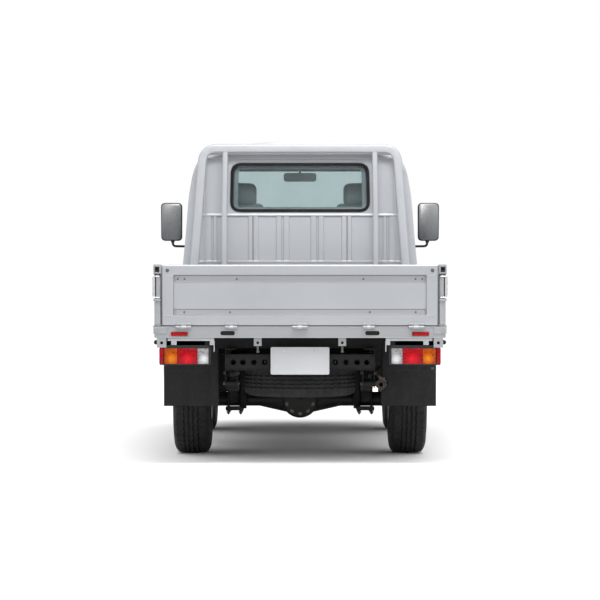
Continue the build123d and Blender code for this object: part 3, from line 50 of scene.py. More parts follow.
# Places that several pieces share; those that the frame doesn't box are the CAD model's own figures
CAB_BACK_LOW, CAB_BACK_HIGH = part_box("cab_back_panel")
ARCH_LOW, ARCH_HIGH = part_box("guard_arch")
PLATE_LOW, PLATE_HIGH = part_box("number_plate")
TANK_LOW, TANK_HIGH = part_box("fuel_tank")
GATE_BOTTOM = 0.800
SILL_Y = -2.2025            # rear face of the sill and of the tailgate
SIDE_GATE_REAR_Y = -2.1975
SIDE_GATE_FRONT_Y = 0.293
SPRING_X = 0.404
AXLE_Z = 0.330              # middle of the rear axle
REAR_AXLE_Y = (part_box("tyre_rear_left")[0].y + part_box("tyre_rear_left")[1].y) / 2
FRONT_AXLE_Y = (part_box("tyre_front_left")[0].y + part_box("tyre_front_left")[1].y) / 2
TYRE_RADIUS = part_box("tyre_rear_left")[1].z / 2
SMOOTH_BELOW = radians(38)
BOTH = (-1, 1)              # left and right, as signs of x
BACKWARD = (0, -1, 0)


# ---- Mesh building -----------------------------------------------------------------------------
def rounded_path(points, radius, closed=False, steps=6):
    """The points with each corner rounded by an arc of about the given radius."""
    points = [Vector(p) for p in points]
    count = len(points)
    path = []
    for i, corner in enumerate(points):
        if not closed and i in (0, count - 1):
            path.append(corner)
            continue
        before = points[i - 1] - corner
        after = points[(i + 1) % count] - corner
        turn = before.angle(after)
        if abs(turn - pi) < 1e-3:
            path.append(corner)
            continue
        reach = min(radius / max(1e-6, abs(sin(turn / 2) / cos(turn / 2))),
                    0.49 * before.length, 0.49 * after.length)
        start = corner + before.normalized() * reach
        end = corner + after.normalized() * reach
        for k in range(steps + 1):
            t = k / steps
            path.append(start * (1 - t) ** 2 + corner * 2 * t * (1 - t) + end * t ** 2)
    return path


def circle_section(radius, sides=12):
    return [(radius * cos(2 * pi * k / sides), radius * sin(2 * pi * k / sides)) for k in range(sides)]


def oblong_section(width, depth, radius, steps=3):
    """A rounded rectangle as a section for a sweep."""
    half_w, half_d = width / 2 - radius, depth / 2 - radius
    points = []
    for quarter, (side_w, side_d) in enumerate(((1, 1), (-1, 1), (-1, -1), (1, -1))):
        for k in range(steps + 1):
            angle = (quarter + k / steps) * pi / 2
            points.append((side_w * half_w + radius * cos(angle), side_d * half_d + radius * sin(angle)))
    return points


def skin(part, rings, round_each, round_all):
    """Faces between neighbouring rows of vertices, closed round each row and round them all where asked."""
    for ring, following in zip(rings, rings[1:] + (rings[:1] if round_all else [])):
        for i in range(len(ring) if round_each else len(ring) - 1):
            j = (i + 1) % len(ring)
            part.faces.new((ring[i], ring[j], following[j], following[i]))


def turn_to(axis):
    """Turns +Z to the axis."""
    return Vector((0, 0, 1)).rotation_difference(Vector(axis)).to_matrix().to_4x4()


class Shape:
    """Simple solids gathered into one mesh."""

    def __init__(self, name):
        self.name = name
        self.mesh = bmesh.new()

    def take(self, part, matrix=None):
        if matrix is not None:
            bmesh.ops.transform(part, matrix=matrix, verts=part.verts)
        kept = bpy.data.meshes.new("part")
        part.to_mesh(kept)
        part.free()
        self.mesh.from_mesh(kept)
        bpy.data.meshes.remove(kept)
        return self

    def box(self, low, high, bevel=0.0, segments=2, matrix=None):
        part = bmesh.new()
        bmesh.ops.create_cube(part, size=1)
        low, high = Vector(low), Vector(high)
        size = [abs(b - a) for a, b in zip(low, high)]
        bmesh.ops.scale(part, vec=size, verts=part.verts)
        bmesh.ops.translate(part, vec=(low + high) / 2, verts=part.verts)
        if bevel:
            bevel = min(bevel, 0.45 * min(size))
            bmesh.ops.bevel(part, geom=part.edges[:], offset=bevel, segments=segments, profile=0.5,
                            affect="EDGES")
        return self.take(part, matrix)

    def rod(self, start, end, radius, sides=20, bevel=0.0):
        start, end = Vector(start), Vector(end)
        part = bmesh.new()
        bmesh.ops.create_cone(part, cap_ends=True, segments=sides, radius1=radius, radius2=radius,
                              depth=(end - start).length)
        if bevel:
            caps = [e for e in part.edges if all(len(v.link_edges) == 3 for v in e.verts)
                    and len(e.link_faces) == 2 and any(len(f.verts) > 4 for f in e.link_faces)]
            bmesh.ops.bevel(part, geom=caps, offset=bevel, segments=2, profile=0.5, affect="EDGES")
        return self.take(part, Matrix.Translation((start + end) / 2) @ turn_to(end - start))

    def bolt(self, place, radius, height, axis=BACKWARD):
        """A hexagon head on a washer."""
        place, axis = Vector(place), Vector(axis).normalized()
        self.rod(place, place + axis * 0.002, radius * 1.45)
        return self.rod(place, place + axis * height, radius, sides=6, bevel=radius * 0.12)

    def sweep(self, path, section, closed=False, up=None):
        """A section swept along a path, its first axis kept square to up where that is given."""
        path = [Vector(p) for p in path]
        count = len(path)
        part = bmesh.new()
        rings = []
        side = None
        for i, point in enumerate(path):
            after = path[(i + 1) % count] if closed or i < count - 1 else point
            before = path[i - 1] if closed or i > 0 else point
            along = (after - before).normalized()
            if up is not None:
                side = Vector(up).cross(along).normalized()
            elif side is None:
                side = along.orthogonal().normalized()
            else:
                side = (side - along * side.dot(along)).normalized()
            over = along.cross(side)
            stretch = 1.0
            if up is not None and (closed or 0 < i < count - 1):
                half = (after - point).angle(point - before, 0) / 2
                stretch = min(1 / max(cos(half), 0.5), 1.5)
            rings.append([part.verts.new(point + side * a * stretch + over * b) for a, b in section])
        skin(part, rings, True, closed)
        if not closed:
            part.faces.new(list(reversed(rings[0])))
            part.faces.new(rings[-1])
        bmesh.ops.recalc_face_normals(part, faces=part.faces)
        return self.take(part)

    def tube(self, points, radius, bend=0.0, sides=12):
        return self.sweep(rounded_path(points, bend) if bend else points, circle_section(radius, sides))

    def lathe(self, profile, centre, axis, sides=48, closed=False):
        """A profile of (radius, distance along the axis) turned about the axis."""
        part = bmesh.new()
        rings = [[part.verts.new((r * x, r * y, h)) for r, h in profile] for x, y in circle_section(1, sides)]
        skin(part, rings, closed, True)
        bmesh.ops.remove_doubles(part, verts=part.verts, dist=1e-6)
        bmesh.ops.recalc_face_normals(part, faces=part.faces)
        return self.take(part, Matrix.Translation(centre) @ turn_to(axis))

    def plate(self, outline, thickness, matrix, bevel=0.0):
        """An outline of (x, y) points given a thickness along z, then placed by a matrix."""
        part = bmesh.new()
        verts = [part.verts.new((x, y, 0)) for x, y in outline]
        face = part.faces.new(verts)
        bmesh.ops.recalc_face_normals(part, faces=[face])
        raised = bmesh.ops.extrude_face_region(part, geom=[face])
        moved = [v for v in raised["geom"] if isinstance(v, bmesh.types.BMVert)]
        bmesh.ops.translate(part, vec=(0, 0, thickness), verts=moved)
        if bevel:
            rims = [e for e in part.edges if abs(e.verts[0].co.z - e.verts[1].co.z) < 1e-7]
            bmesh.ops.bevel(part, geom=rims, offset=bevel, segments=2, profile=0.5, affect="EDGES")
        bmesh.ops.recalc_face_normals(part, faces=part.faces)
        return self.take(part, matrix)

    def sheet(self, place, columns, rows, skip=None):
        """A sheet through place(a, b) for the columns a and rows b, less the cells that skip(a, b) picks."""
        part = bmesh.new()
        grid = [[part.verts.new(place(a, b)) for a in columns] for b in rows]
        for j in range(len(rows) - 1):
            for i in range(len(columns) - 1):
                middle = ((columns[i] + columns[i + 1]) / 2, (rows[j] + rows[j + 1]) / 2)
                if skip is None or not skip(*middle):
                    part.faces.new((grid[j][i], grid[j][i + 1], grid[j + 1][i + 1], grid[j + 1][i]))
        loose = [v for v in part.verts if not v.link_faces]
        bmesh.ops.delete(part, geom=loose, context="VERTS")
        return self.take(part)

    def done(self, material, body=CHASSIS, stands_for=(), thickness=0.0, ride=True):
        """Make the object, shade it smooth where it is gently curved, and fix it to its body."""
        for face in self.mesh.faces:
            face.smooth = True
        for edge in self.mesh.edges:
            edge.smooth = len(edge.link_faces) != 2 or edge.calc_face_angle(0) < SMOOTH_BELOW
        mesh = bpy.data.meshes.new(self.name)
        self.mesh.to_mesh(mesh)
        self.mesh.free()
        mesh.materials.append(material)
        piece = bpy.data.objects.new(self.name, mesh)
        bpy.context.scene.collection.objects.link(piece)
        if thickness:
            apply_modifier(piece, "SOLIDIFY", thickness=thickness, offset=-1)
        if ride:
            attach(piece, body)
            if stands_for:
                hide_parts(*stands_for)
        return piece


def apply_modifier(piece, kind, **settings):
    """Add a modifier, and bake its result into the mesh."""
    modifier = piece.modifiers.new(kind.lower(), kind)
    for key, value in settings.items():
        setattr(modifier, key, value)
    evaluated = piece.evaluated_get(bpy.context.evaluated_depsgraph_get())
    result = bpy.data.meshes.new_from_object(evaluated)
    result.name = piece.data.name
    piece.modifiers.clear()
    piece.data = result


def make(name, material, parts, sides=(1,), y=0.0, body=CHASSIS, stands_for=()):
    """A piece of simple solids.

    A part is the name of a Shape method, its points as tuples or a list of them, and its measures.  The whole
    list is made once for each side, which multiplies x, and y is added to each point's own.
    """
    shape = Shape(name)

    def placed(given, side):
        if isinstance(given, list):
            return [placed(point, side) for point in given]
        return (side * given[0], y + given[1], given[2]) if isinstance(given, tuple) else given

    for side in sides:
        for kind, *given in parts:
            getattr(shape, kind)(*[placed(value, side) for value in given])
    shape.done(material, body, stands_for)


def flat_ring(corners, radius, steps):
    """A rounded outline in two axes, for Shape.plate."""
    return [(p.x, p.y) for p in rounded_path([(x, z, 0) for x, z in corners], radius, True, steps)]


def standing(y):
    """Stands a plate upright across the truck, its thickness going forward from y."""
    return Matrix(((1, 0, 0, 0), (0, 0, 1, y), (0, 1, 0, 0), (0, 0, 0, 1)))


def divided(corners, radius, steps, pitch):
    """A rounded closed path with points no further apart than about the pitch."""
    outline = rounded_path(corners, radius, True, steps)
    path = []
    for i, point in enumerate(outline):
        following = outline[(i + 1) % len(outline)]
        count = max(1, round((following - point).length / pitch))
        path += [point.lerp(following, k / count) for k in range(count)]
    return path


def spaced(low, high, step, marks=(), fine=0.003, reach=0.012):
    """Evenly spaced values from low to high, with closer ones round each mark."""
    values = set()
    count = max(1, round((high - low) / step))
    values.update(round(low + (high - low) * k / count, 5) for k in range(count + 1))
    for mark in marks:
        near = round(reach / fine)
        values.update(round(mark + fine * k, 5) for k in range(-near, near + 1))
    kept = []
    for value in sorted(v for v in values if low - 1e-5 <= v <= high + 1e-5):
        if not kept or value - kept[-1] > 0.6 * fine:
            kept.append(value)
    return kept


def ease(value, start, end):
    """0 before start, 1 after end, and smooth between."""
    t = min(max((value - start) / (end - start), 0), 1)
    return t * t * (3 - 2 * t)


# ---- Materials ---------------------------------------------------------------------------------
RANGE_SOCKETS = ("From Min", "From Max", "To Min", "To Max")


class Finish:
    """A material's nodes, written short.  Its pattern follows the object's own metres."""

    def __init__(self, name, slot):
        self.material = bpy.data.materials.new(name)
        self.material.use_nodes = True
        self.tree = self.material.node_tree
        self.shader = self.tree.nodes["Principled BSDF"]
        self.place = self.add("ShaderNodeTexCoord").outputs["Object"]

    def add(self, kind, settings=None, **inputs):
        node = self.tree.nodes.new(kind)
        for key, value in (settings or {}).items():
            setattr(node, key, value)
        for key, value in inputs.items():
            self.feed(node, key.replace("_", " "), value)
        return node

    def feed(self, node, socket, value):
        target = node.inputs[socket]
        if isinstance(value, bpy.types.NodeSocket):
            self.tree.links.new(value, target)
        else:
            target.default_value = (*value, 1.0) if target.type == "RGBA" and len(value) == 3 else value

    def stretched(self, scale):
        node = self.add("ShaderNodeMapping", Vector=self.place)
        node.inputs["Scale"].default_value = scale
        return node.outputs["Vector"]

    def noise(self, scale, detail=4.0, roughness=0.5, stretch=None):
        place = self.place if stretch is None else self.stretched(stretch)
        node = self.add("ShaderNodeTexNoise", Vector=place, Scale=scale, Detail=detail, Roughness=roughness)
        return node.outputs["Fac"]

    def cells(self, scale, stretch=None):
        place = self.place if stretch is None else self.stretched(stretch)
        return self.add("ShaderNodeTexVoronoi", Vector=place, Scale=scale).outputs["Distance"]

    def waves(self, scale, direction):
        node = self.add("ShaderNodeTexWave", {"bands_direction": direction}, Vector=self.place, Scale=scale)
        return node.outputs["Fac"]

    def height(self):
        return self.add("ShaderNodeSeparateXYZ", Vector=self.place).outputs["Z"]

    def span(self, value, low, high, to_low=0.0, to_high=1.0):
        """A value carried from one range to another, held at its ends."""
        node = self.add("ShaderNodeMapRange", Value=value)
        for socket, number in zip(RANGE_SOCKETS, (low, high, to_low, to_high)):
            node.inputs[socket].default_value = number
        return node.outputs["Result"]

    def uneven(self, scale, low, high, detail=4.0):
        """A value that wanders between two others in clouds of a size."""
        return self.span(self.noise(scale, detail), 0.3, 0.7, low, high)

    def math(self, operation, first, second):
        node = self.add("ShaderNodeMath", {"operation": operation})
        self.feed(node, 0, first)
        self.feed(node, 1, second)
        return node.outputs[0]

    def mix(self, share, first, second):
        node = self.add("ShaderNodeMix", {"data_type": "RGBA"})
        for socket, value in ((0, share), (6, first), (7, second)):
            self.feed(node, socket, value)
        return node.outputs[2]

    def crevices(self, distance):
        """1 in the open, less in tight corners."""
        return self.add("ShaderNodeAmbientOcclusion", {"samples": 6}, Distance=distance).outputs["AO"]

    def bump(self, height, strength, distance, below=None):
        node = self.add("ShaderNodeBump", Height=height, Strength=strength, Distance=distance)
        if below is not None:
            self.feed(node, "Normal", below)
        return node.outputs["Normal"]

    def finish(self, colour, roughness, normal=None, metallic=0.0, **steady):
        self.feed(self.shader, "Base Color", colour)
        self.feed(self.shader, "Roughness", roughness)
        self.shader.inputs["Metallic"].default_value = metallic
        if normal is not None:
            self.feed(self.shader, "Normal", normal)
        for socket, value in steady.items():
            self.shader.inputs[socket.replace("_", " ")].default_value = value
        return self.material


def paint(name, slot, colour, metallic=0.0, roughness=0.36, coat=0.25, dust=0.25):
    """Body paint: a fine metallic fleck, a faint ripple, painted shade in the corners and dust towards the
    road.
    """
    f = Finish(name, slot)
    clouds = f.noise(2.2, 5.0)
    light = f.mix(f.span(clouds, 0.35, 0.65), [c * 0.965 for c in colour], [min(1, c * 1.03) for c in colour])
    fleck = f.noise(1900.0, 1.0)
    flecked = f.mix(f.span(fleck, 0.45, 0.75, 0.0, 0.10), light, [min(1, c * 1.4) for c in colour])
    low_down = f.span(f.height(), 0.95, 0.35)
    patches = f.span(f.noise(9.0, 6.0, 0.62), 0.42, 0.72)
    cover = f.math("MULTIPLY", f.math("MULTIPLY", low_down, patches), dust)
    dusty = f.mix(cover, flecked, (0.33, 0.30, 0.26))
    # Painted shade: the colour darkens where ambient occlusion finds tight corners
    corner = f.span(f.crevices(0.018), 0.30, 0.86, 0.55, 0.0)
    shaded_in_corners = f.mix(corner, dusty, (0.20, 0.19, 0.17))
    gloss = f.uneven(34.0, roughness - 0.04, roughness + 0.06, 5.0)
    ripple = f.bump(f.noise(210.0, 2.0), 0.05, 0.001)
    return f.finish(shaded_in_corners, gloss, f.bump(f.noise(5.0, 1.0), 0.03, 0.01, ripple), metallic, Coat_Weight=coat,
                    Coat_Roughness=0.12)


def chassis_paint(name, slot, colour, dust_colour=(0.040, 0.036, 0.032), amount=0.4):
    """Thick black underbody paint with dried road dust."""
    f = Finish(name, slot)
    patches = f.span(f.noise(14.0, 8.0, 0.65), 0.45, 0.72)
    specks = f.span(f.cells(170.0), 0.0, 0.35, 1.0, 0.0)
    cover = f.math("MULTIPLY", patches, amount)
    dusty = f.mix(cover, colour, dust_colour)
    speckled = f.mix(f.math("MULTIPLY", specks, 0.12), dusty, [c * 2.2 for c in dust_colour])
    gloss = f.span(patches, 0.0, 1.0, 0.42, 0.85)
    grain = f.bump(f.noise(260.0, 4.0), 0.22, 0.002)
    return f.finish(speckled, gloss, f.bump(f.noise(26.0, 6.0), 0.18, 0.004, grain), Specular_IOR_Level=0.22)


def rubber(name, slot, colour, dust=0.3, streaks=False):
    """Rubber, chalky in patches."""
    f = Finish(name, slot)
    wide = (1.0, 1.0, 0.25) if streaks else None
    patches = f.span(f.noise(11.0, 7.0, 0.6, wide), 0.42, 0.75)
    chalky = f.mix(f.math("MULTIPLY", patches, dust), colour, (0.11, 0.105, 0.098))
    gloss = f.uneven(60.0, 0.55, 0.80)
    return f.finish(chalky, gloss, f.bump(f.noise(420.0, 3.0), 0.16, 0.001), Specular_IOR_Level=0.20)


def grained_plastic(name, slot, colour, roughness=0.5):
    """Moulded plastic with a fine grain, faded in places."""
    f = Finish(name, slot)
    grain = f.cells(900.0)
    faded = f.mix(f.span(f.noise(6.0, 4.0), 0.4, 0.7, 0.0, 0.35), colour, [c * 1.5 + 0.004 for c in colour])
    gloss = f.uneven(40.0, roughness - 0.06, roughness + 0.08)
    return f.finish(faded, gloss, f.bump(grain, 0.20, 0.0008), Specular_IOR_Level=0.25)


def bare_metal(name, slot, colour, roughness=0.34, amount=0.3, metallic=0.85):
    """Zinc-plated or bare steel, brushed a little, stained in patches, with painted shade in tight corners."""
    f = Finish(name, slot)
    patches = f.span(f.noise(38.0, 6.0, 0.6), 0.48, 0.75)
    stained = f.mix(f.math("MULTIPLY", patches, amount), colour, (0.30, 0.27, 0.22))
    # Painted shade: darker where ambient occlusion finds tight corners
    shaded_in_corners = f.mix(f.span(f.crevices(0.012), 0.25, 0.9, 0.6, 0.0), stained, (0.06, 0.055, 0.05))
    gloss = f.uneven(90.0, roughness - 0.08, roughness + 0.16, 5.0)
    return f.finish(shaded_in_corners, gloss, f.bump(f.noise(300.0, 3.0), 0.12, 0.001), metallic)


def lens(name, slot, deep, highlight_colour, spot, reach):
    """Moulded lamp lens: prisms inside, and a painted highlight round the reflector's spot on either side of
    the truck.

    The distance is taken from coordinates without their signs, so a spot behind the truck has its y positive.
    """
    f = Finish(name, slot)
    away = f.add("ShaderNodeVectorMath", {"operation": "DISTANCE"})
    folded = f.add("ShaderNodeVectorMath", {"operation": "ABSOLUTE"})
    f.feed(folded, 0, f.place)
    f.feed(away, 0, folded.outputs["Vector"])
    away.inputs[1].default_value = spot
    painted_highlight = f.span(away.outputs["Value"], 0.25 * reach, reach, 1.0, 0.0)
    prisms = f.cells(60.0, stretch=(1.0, 0.2, 1.35))
    mottled = f.mix(f.span(prisms, 0.10, 0.60), [c * 0.55 for c in deep], [min(1, c * 1.15) for c in deep])
    colour = f.mix(f.math("MULTIPLY", painted_highlight, f.span(prisms, 0.1, 0.6, 0.95, 0.50)), mottled, highlight_colour)
    ridges = f.bump(f.cells(150.0, stretch=(1.0, 0.2, 1.0)), 0.15, 0.002)
    return f.finish(colour, f.uneven(30.0, 0.16, 0.30), ridges, Coat_Weight=0.06, Coat_Roughness=0.08,
                    Specular_IOR_Level=0.16)


def glass(name, slot, tint):
    """Tinted safety glass: seen through, with a smear of road film."""
    f = Finish(name, slot)
    film = f.span(f.noise(4.0, 6.0, 0.6, (1.0, 1.0, 0.6)), 0.4, 0.8, 0.03, 0.08)
    f.finish(tint, film, Specular_IOR_Level=0.5)
    out = f.tree.nodes["Material Output"]
    clear = f.add("ShaderNodeBsdfTransparent", Color=(*tint, 1.0))
    edge = f.add("ShaderNodeFresnel", IOR=1.45)
    shine = f.add("ShaderNodeBsdfGlossy", Roughness=0.04)
    shine.inputs["Color"].default_value = (0.9, 0.95, 0.96, 1.0)
    both = f.add("ShaderNodeMixShader")
    f.feed(both, 0, f.span(edge.outputs["Fac"], 0.0, 1.0, 0.0, 0.9))
    f.feed(both, 1, clear.outputs[0])
    f.feed(both, 2, shine.outputs[0])
    haze = f.add("ShaderNodeMixShader")
    for socket, value in enumerate((f.span(f.noise(5.0, 6.0, 0.6), 0.45, 0.85, 0.02, 0.06), both.outputs[0],
                                    f.shader.outputs[0])):
        f.feed(haze, socket, value)
    f.tree.links.new(haze.outputs[0], out.inputs["Surface"])
    return f.material


def cloth(name, slot, colour, thread):
    """Woven seat cloth with a soft stripe."""
    f = Finish(name, slot)
    across, along = f.waves(420.0, "X"), f.waves(420.0, "Z")
    deep = f.waves(420.0, "Y")
    weave = f.math("MULTIPLY", f.math("ADD", across, deep), along)
    tone = f.mix(f.span(weave, 0.2, 1.4), colour, thread)
    worn = f.mix(f.span(f.noise(7.0, 6.0), 0.45, 0.75, 0.0, 0.4), tone, [c * 1.5 for c in thread])
    return f.finish(worn, f.uneven(30.0, 0.82, 0.95), f.bump(weave, 0.30, 0.001), Sheen_Weight=0.25,
                    Sheen_Roughness=0.5)


def mirror_glass(name, slot):
    """Mirror face with a painted reflection: darker towards its foot, where the road would show in it."""
    f = Finish(name, slot)
    # Painted reflection of the road, darker low down
    down = f.span(f.height(), 1.40, 1.68)
    tone = f.mix(down, (0.085, 0.092, 0.098), (0.27, 0.275, 0.28))
    return f.finish(tone, f.uneven(12.0, 0.22, 0.30), metallic=0.15, Specular_IOR_Level=0.6)


def heated_steel(name, slot):
    """Exhaust steel, browned and scaled."""
    f = Finish(name, slot)
    patches = f.span(f.noise(24.0, 8.0, 0.65), 0.38, 0.68)
    tone = f.mix(patches, (0.028, 0.024, 0.020), (0.065, 0.048, 0.036))
    flaky = f.mix(f.span(f.noise(120.0, 4.0), 0.55, 0.75, 0.0, 0.5), tone, (0.26, 0.23, 0.20))
    return f.finish(flaky, f.span(patches, 0.0, 1.0, 0.5, 0.85), f.bump(f.noise(160.0, 6.0), 0.3, 0.002),
                    metallic=0.35)


SILVER = paint("silver_paint", "paint_silver", (0.415, 0.430, 0.455), metallic=0.30)
# The same silver darkened as painted shade: the gates a little, and the sill, bed floor, latches and corner
# brackets more
SHADED_GATE_SILVER = paint("gate_silver_painted_shade", "paint_silver", (0.355, 0.368, 0.390), metallic=0.35)
SHADED_SILL_SILVER = paint("sill_silver_painted_shade", "paint_silver", (0.290, 0.302, 0.318), metallic=0.25, dust=0.5)
BRIGHT_SILVER = paint("bracket_paint", "paint_silver", (0.40, 0.41, 0.43), metallic=0.2, roughness=0.42,
                      dust=0.5)
RIM_PAINT = paint("wheel_paint", "rim_steel", (0.42, 0.43, 0.44), metallic=0.25, roughness=0.45, coat=0.05,
                  dust=0.7)
BLACK_CHASSIS = chassis_paint("chassis_black", "chassis_black", (0.0065, 0.0065, 0.007))
CASTING = chassis_paint("rough_casting", "engine_iron", (0.012, 0.0115, 0.011), (0.045, 0.040, 0.034), 0.5)
EXHAUST = heated_steel("heated_steel", "exhaust_steel")
TYRE_RUBBER = rubber("tyre_rubber", "tyre_rubber", (0.014, 0.014, 0.0145), 0.10)
FLAP_RUBBER = rubber("flap_rubber", "flap_rubber", (0.015, 0.015, 0.016), 0.10, streaks=True)
SEAL_RUBBER = rubber("seal_rubber", "black_plastic", (0.007, 0.007, 0.008), 0.10)
BLACK_PLASTIC = grained_plastic("black_plastic", "black_plastic", (0.014, 0.014, 0.015))
CABIN_PLASTIC = grained_plastic("cabin_plastic", "black_plastic", (0.085, 0.092, 0.095), 0.62)
TRIM_PLASTIC = grained_plastic("trim_plastic", "black_plastic", (0.34, 0.36, 0.37), 0.66)
ZINC = bare_metal("zinc_steel", "paint_silver", (0.60, 0.60, 0.60))
DARK_STEEL = bare_metal("dark_steel", "chassis_black", (0.10, 0.10, 0.10), 0.45, amount=0.5, metallic=0.6)
# Pale plastic as painted light on the inner mirror, which sits in the cab's shade, and as a painted reflection
# on its glass
PAINTED_LIGHT_PLASTIC = grained_plastic("plastic_with_painted_light", "black_plastic", (0.72, 0.76, 0.77), 0.6)
GLASS = glass("tinted_glass", "tinted_glass", (0.80, 0.853, 0.858))
SEAT_CLOTH = cloth("seat_cloth", "seat_fabric", (0.160, 0.185, 0.190), (0.240, 0.270, 0.275))
MIRROR = mirror_glass("mirror_face", "black_plastic")
PLATE_PAINT = paint("plate_paint", "plate_white", (0.50, 0.51, 0.53), roughness=0.40, coat=0.1, dust=0.15)
# Lenses: how they look away from the spot and in the painted highlight on it, then the spot and how far the
# highlight reaches
RED_LENS = lens("red_lens", "red_lens", (0.26, 0.001, 0.005), (0.72, 0.006, 0.02),
                (0.637, 2.213, 0.608), 0.042)
AMBER_LENS = lens("amber_lens", "red_lens", (0.30, 0.048, 0.001), (0.80, 0.24, 0.004),
                  (0.727, 2.213, 0.610), 0.036)
CLEAR_LENS = lens("clear_lens", "red_lens", (0.22, 0.213, 0.22), (0.86, 0.85, 0.86),
                  (0.546, 2.213, 0.608), 0.034)
REFLECTOR = lens("red_reflector", "red_lens", (0.25, 0.002, 0.004), (0.34, 0.005, 0.008),
                 (0.684, 2.2, 0.752), 0.06)
HEADLAMP = lens("headlamp_glass", "clear_lens", (0.55, 0.57, 0.58), (0.95, 0.95, 0.95),
                (0.60, 2.13, 0.80), 0.10)
# Dark grey for painted shade lines along the tailgate's steps
SHADE_LINE_GREY = rubber("painted_shade_lines", "paint_silver", (0.13, 0.133, 0.14), 0.2)
FLOOR_RUBBER = rubber("floor_rubber", "floor_mat", (0.030, 0.030, 0.032), 0.3)


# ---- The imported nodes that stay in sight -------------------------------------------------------
def finish_nodes(material, *names):
    """Give the CAD model's own objects a material."""
    for name in names:
        NODES[name].data.materials.clear()
        NODES[name].data.materials.append(material)


finish_nodes(SILVER, "cab_roof", "cab_sides", "cab_front_panel", "door_left", "door_right", "headboard",
             "front_bumper")
finish_nodes(BLACK_CHASSIS, "bed_bearers", "frame_rails", "crossmembers", "leaf_springs", "front_suspension",
             "fuel_tank", "driveshaft", "rear_axle", "knuckle_left", "knuckle_right")
finish_nodes(CASTING, "engine_block")
finish_nodes(EXHAUST, "exhaust")
finish_nodes(GLASS, "cab_glass", "door_glass_left", "door_glass_right")
finish_nodes(HEADLAMP, "headlamps")
finish_nodes(CABIN_PLASTIC, "dashboard", "steering_wheel")
# The inner mirror gets painted light against the cab's shade
finish_nodes(PAINTED_LIGHT_PLASTIC, "inner_mirror")
# The bed floor takes the silver darkened as painted shade
finish_nodes(SHADED_SILL_SILVER, "bed_floor")
finish_nodes(FLOOR_RUBBER, "cab_floor")


def caster(*names):
    """A function that finds where a ray first meets the named nodes."""
    trees = []
    for name in names:
        mesh = NODES[name].data
        trees.append(BVHTree.FromPolygons([v.co for v in mesh.vertices], [p.vertices for p in mesh.polygons]))

    def cast(origin, direction):
        hits = [tree.ray_cast(Vector(origin), Vector(direction)) for tree in trees]
        hits = [hit for hit in hits if hit[0] is not None]
        return min(hits, key=lambda hit: hit[3])[0] if hits else None

    return cast


def laid_on(cast, points, direction, lift=0.0):
    """Points moved along a direction until they lie on a surface, then back off it by lift."""
    direction = Vector(direction).normalized()
    path = []
    for point in points:
        hit = cast(Vector(point) - direction * 2, direction)
        if hit is not None:
            path.append(hit - direction * lift)
    return path


# ---- Gates -------------------------------------------------------------------------------------
STILE = 0.060
SIDE_LENGTH = SIDE_GATE_FRONT_Y - SIDE_GATE_REAR_Y
SIDE_MIDDLE_Y = (SIDE_GATE_REAR_Y + SIDE_GATE_FRONT_Y) / 2
SIDE_OUTER_X = 0.826
HINGE_PIN_X, HINGE_PIN_Z = 0.840, 0.790
TAILGATE_HINGES = ((-0.660, 0.086), (-0.390, 0.068), (0.0, 0.086), (0.390, 0.068), (0.660, 0.086))
SIDE_HINGE_WIDTH = 0.080
# From the foot of the outer face up, over the top and down the inner face: depth of the rails, height, and
# how far the panel between the stiles lies behind the rails
GATE_SECTION = (
    (0.004, 0.000, 0), (0.001, 0.001, 0), (0.000, 0.004, 0), (0.000, 0.053, 0),
    (0.0005, 0.056, 0.003), (0.0005, 0.060, 0.012), (0.000, 0.064, 0.016), (0.000, 0.086, 0.016),
    (0.000, 0.090, 0.015), (0.000, 0.094, 0.008), (0.000, 0.099, 0.009), (0.000, 0.165, 0.009),
    (0.000, 0.236, 0.009), (0.000, 0.240, 0.009), (0.000, 0.244, 0.015), (0.000, 0.248, 0.016),
    (0.000, 0.277, 0.016), (0.000, 0.2815, 0.015), (0.000, 0.2835, 0.004), (0.000, 0.287, 0.0),
    (0.000, 0.334, 0), (0.001, 0.339, 0), (0.004, 0.343, 0), (0.009, 0.345, 0),
)


def gate(name, node, length, thickness, place, stiffeners=()):
    """A pressed gate: rails round a recessed panel, its outer face at local y 0."""
    half = length / 2
    loop = list(GATE_SECTION)
    loop += [(thickness - depth, height, -min(panel, 0.006)) for depth, height, panel in reversed(loop)]
    marks = [s * (half - STILE - 0.004) for s in BOTH] + [x + s * 0.022 for x in stiffeners for s in BOTH]
    columns = spaced(-half, half, 0.05, marks, 0.002, 0.010)

    def at(x, depth, height, panel):
        share = ease(half - abs(x), STILE, STILE + 0.008)
        for middle in stiffeners:
            share = min(share, ease(abs(x - middle), 0.018, 0.026) + 0.12)
        return (x, depth + panel * share, height)

    grid = bmesh.new()
    lines = [[grid.verts.new(at(x, *corner)) for x in columns] for corner in loop]
    skin(grid, lines, False, True)
    for i in (0, -1):
        grid.faces.new([line[i] for line in lines])
    bmesh.ops.recalc_face_normals(grid, faces=grid.faces)
    # The gates take the silver darkened as painted shade
    Shape(name).take(grid, place).done(SHADED_GATE_SILVER, node, stands_for=(node,))


def along_side(side, x, y, z):
    """Place of something whose length runs along the truck and whose outer face looks outward."""
    return Matrix.Translation((side * x, y, z)) @ Matrix.Rotation(side * pi / 2, 4, "Z")


gate("tailgate_panel", "tailgate", 2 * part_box("tailgate")[1].x, 0.038,
     Matrix.Translation((0, SILL_Y, GATE_BOTTOM)))
for word, side in SIDES.items():
    gate(f"side_gate_panel_{word}", f"side_gate_{word}", SIDE_LENGTH, 0.040,
         along_side(side, SIDE_OUTER_X, SIDE_MIDDLE_Y, GATE_BOTTOM), (-0.83, -0.415, 0.0, 0.415, 0.83))


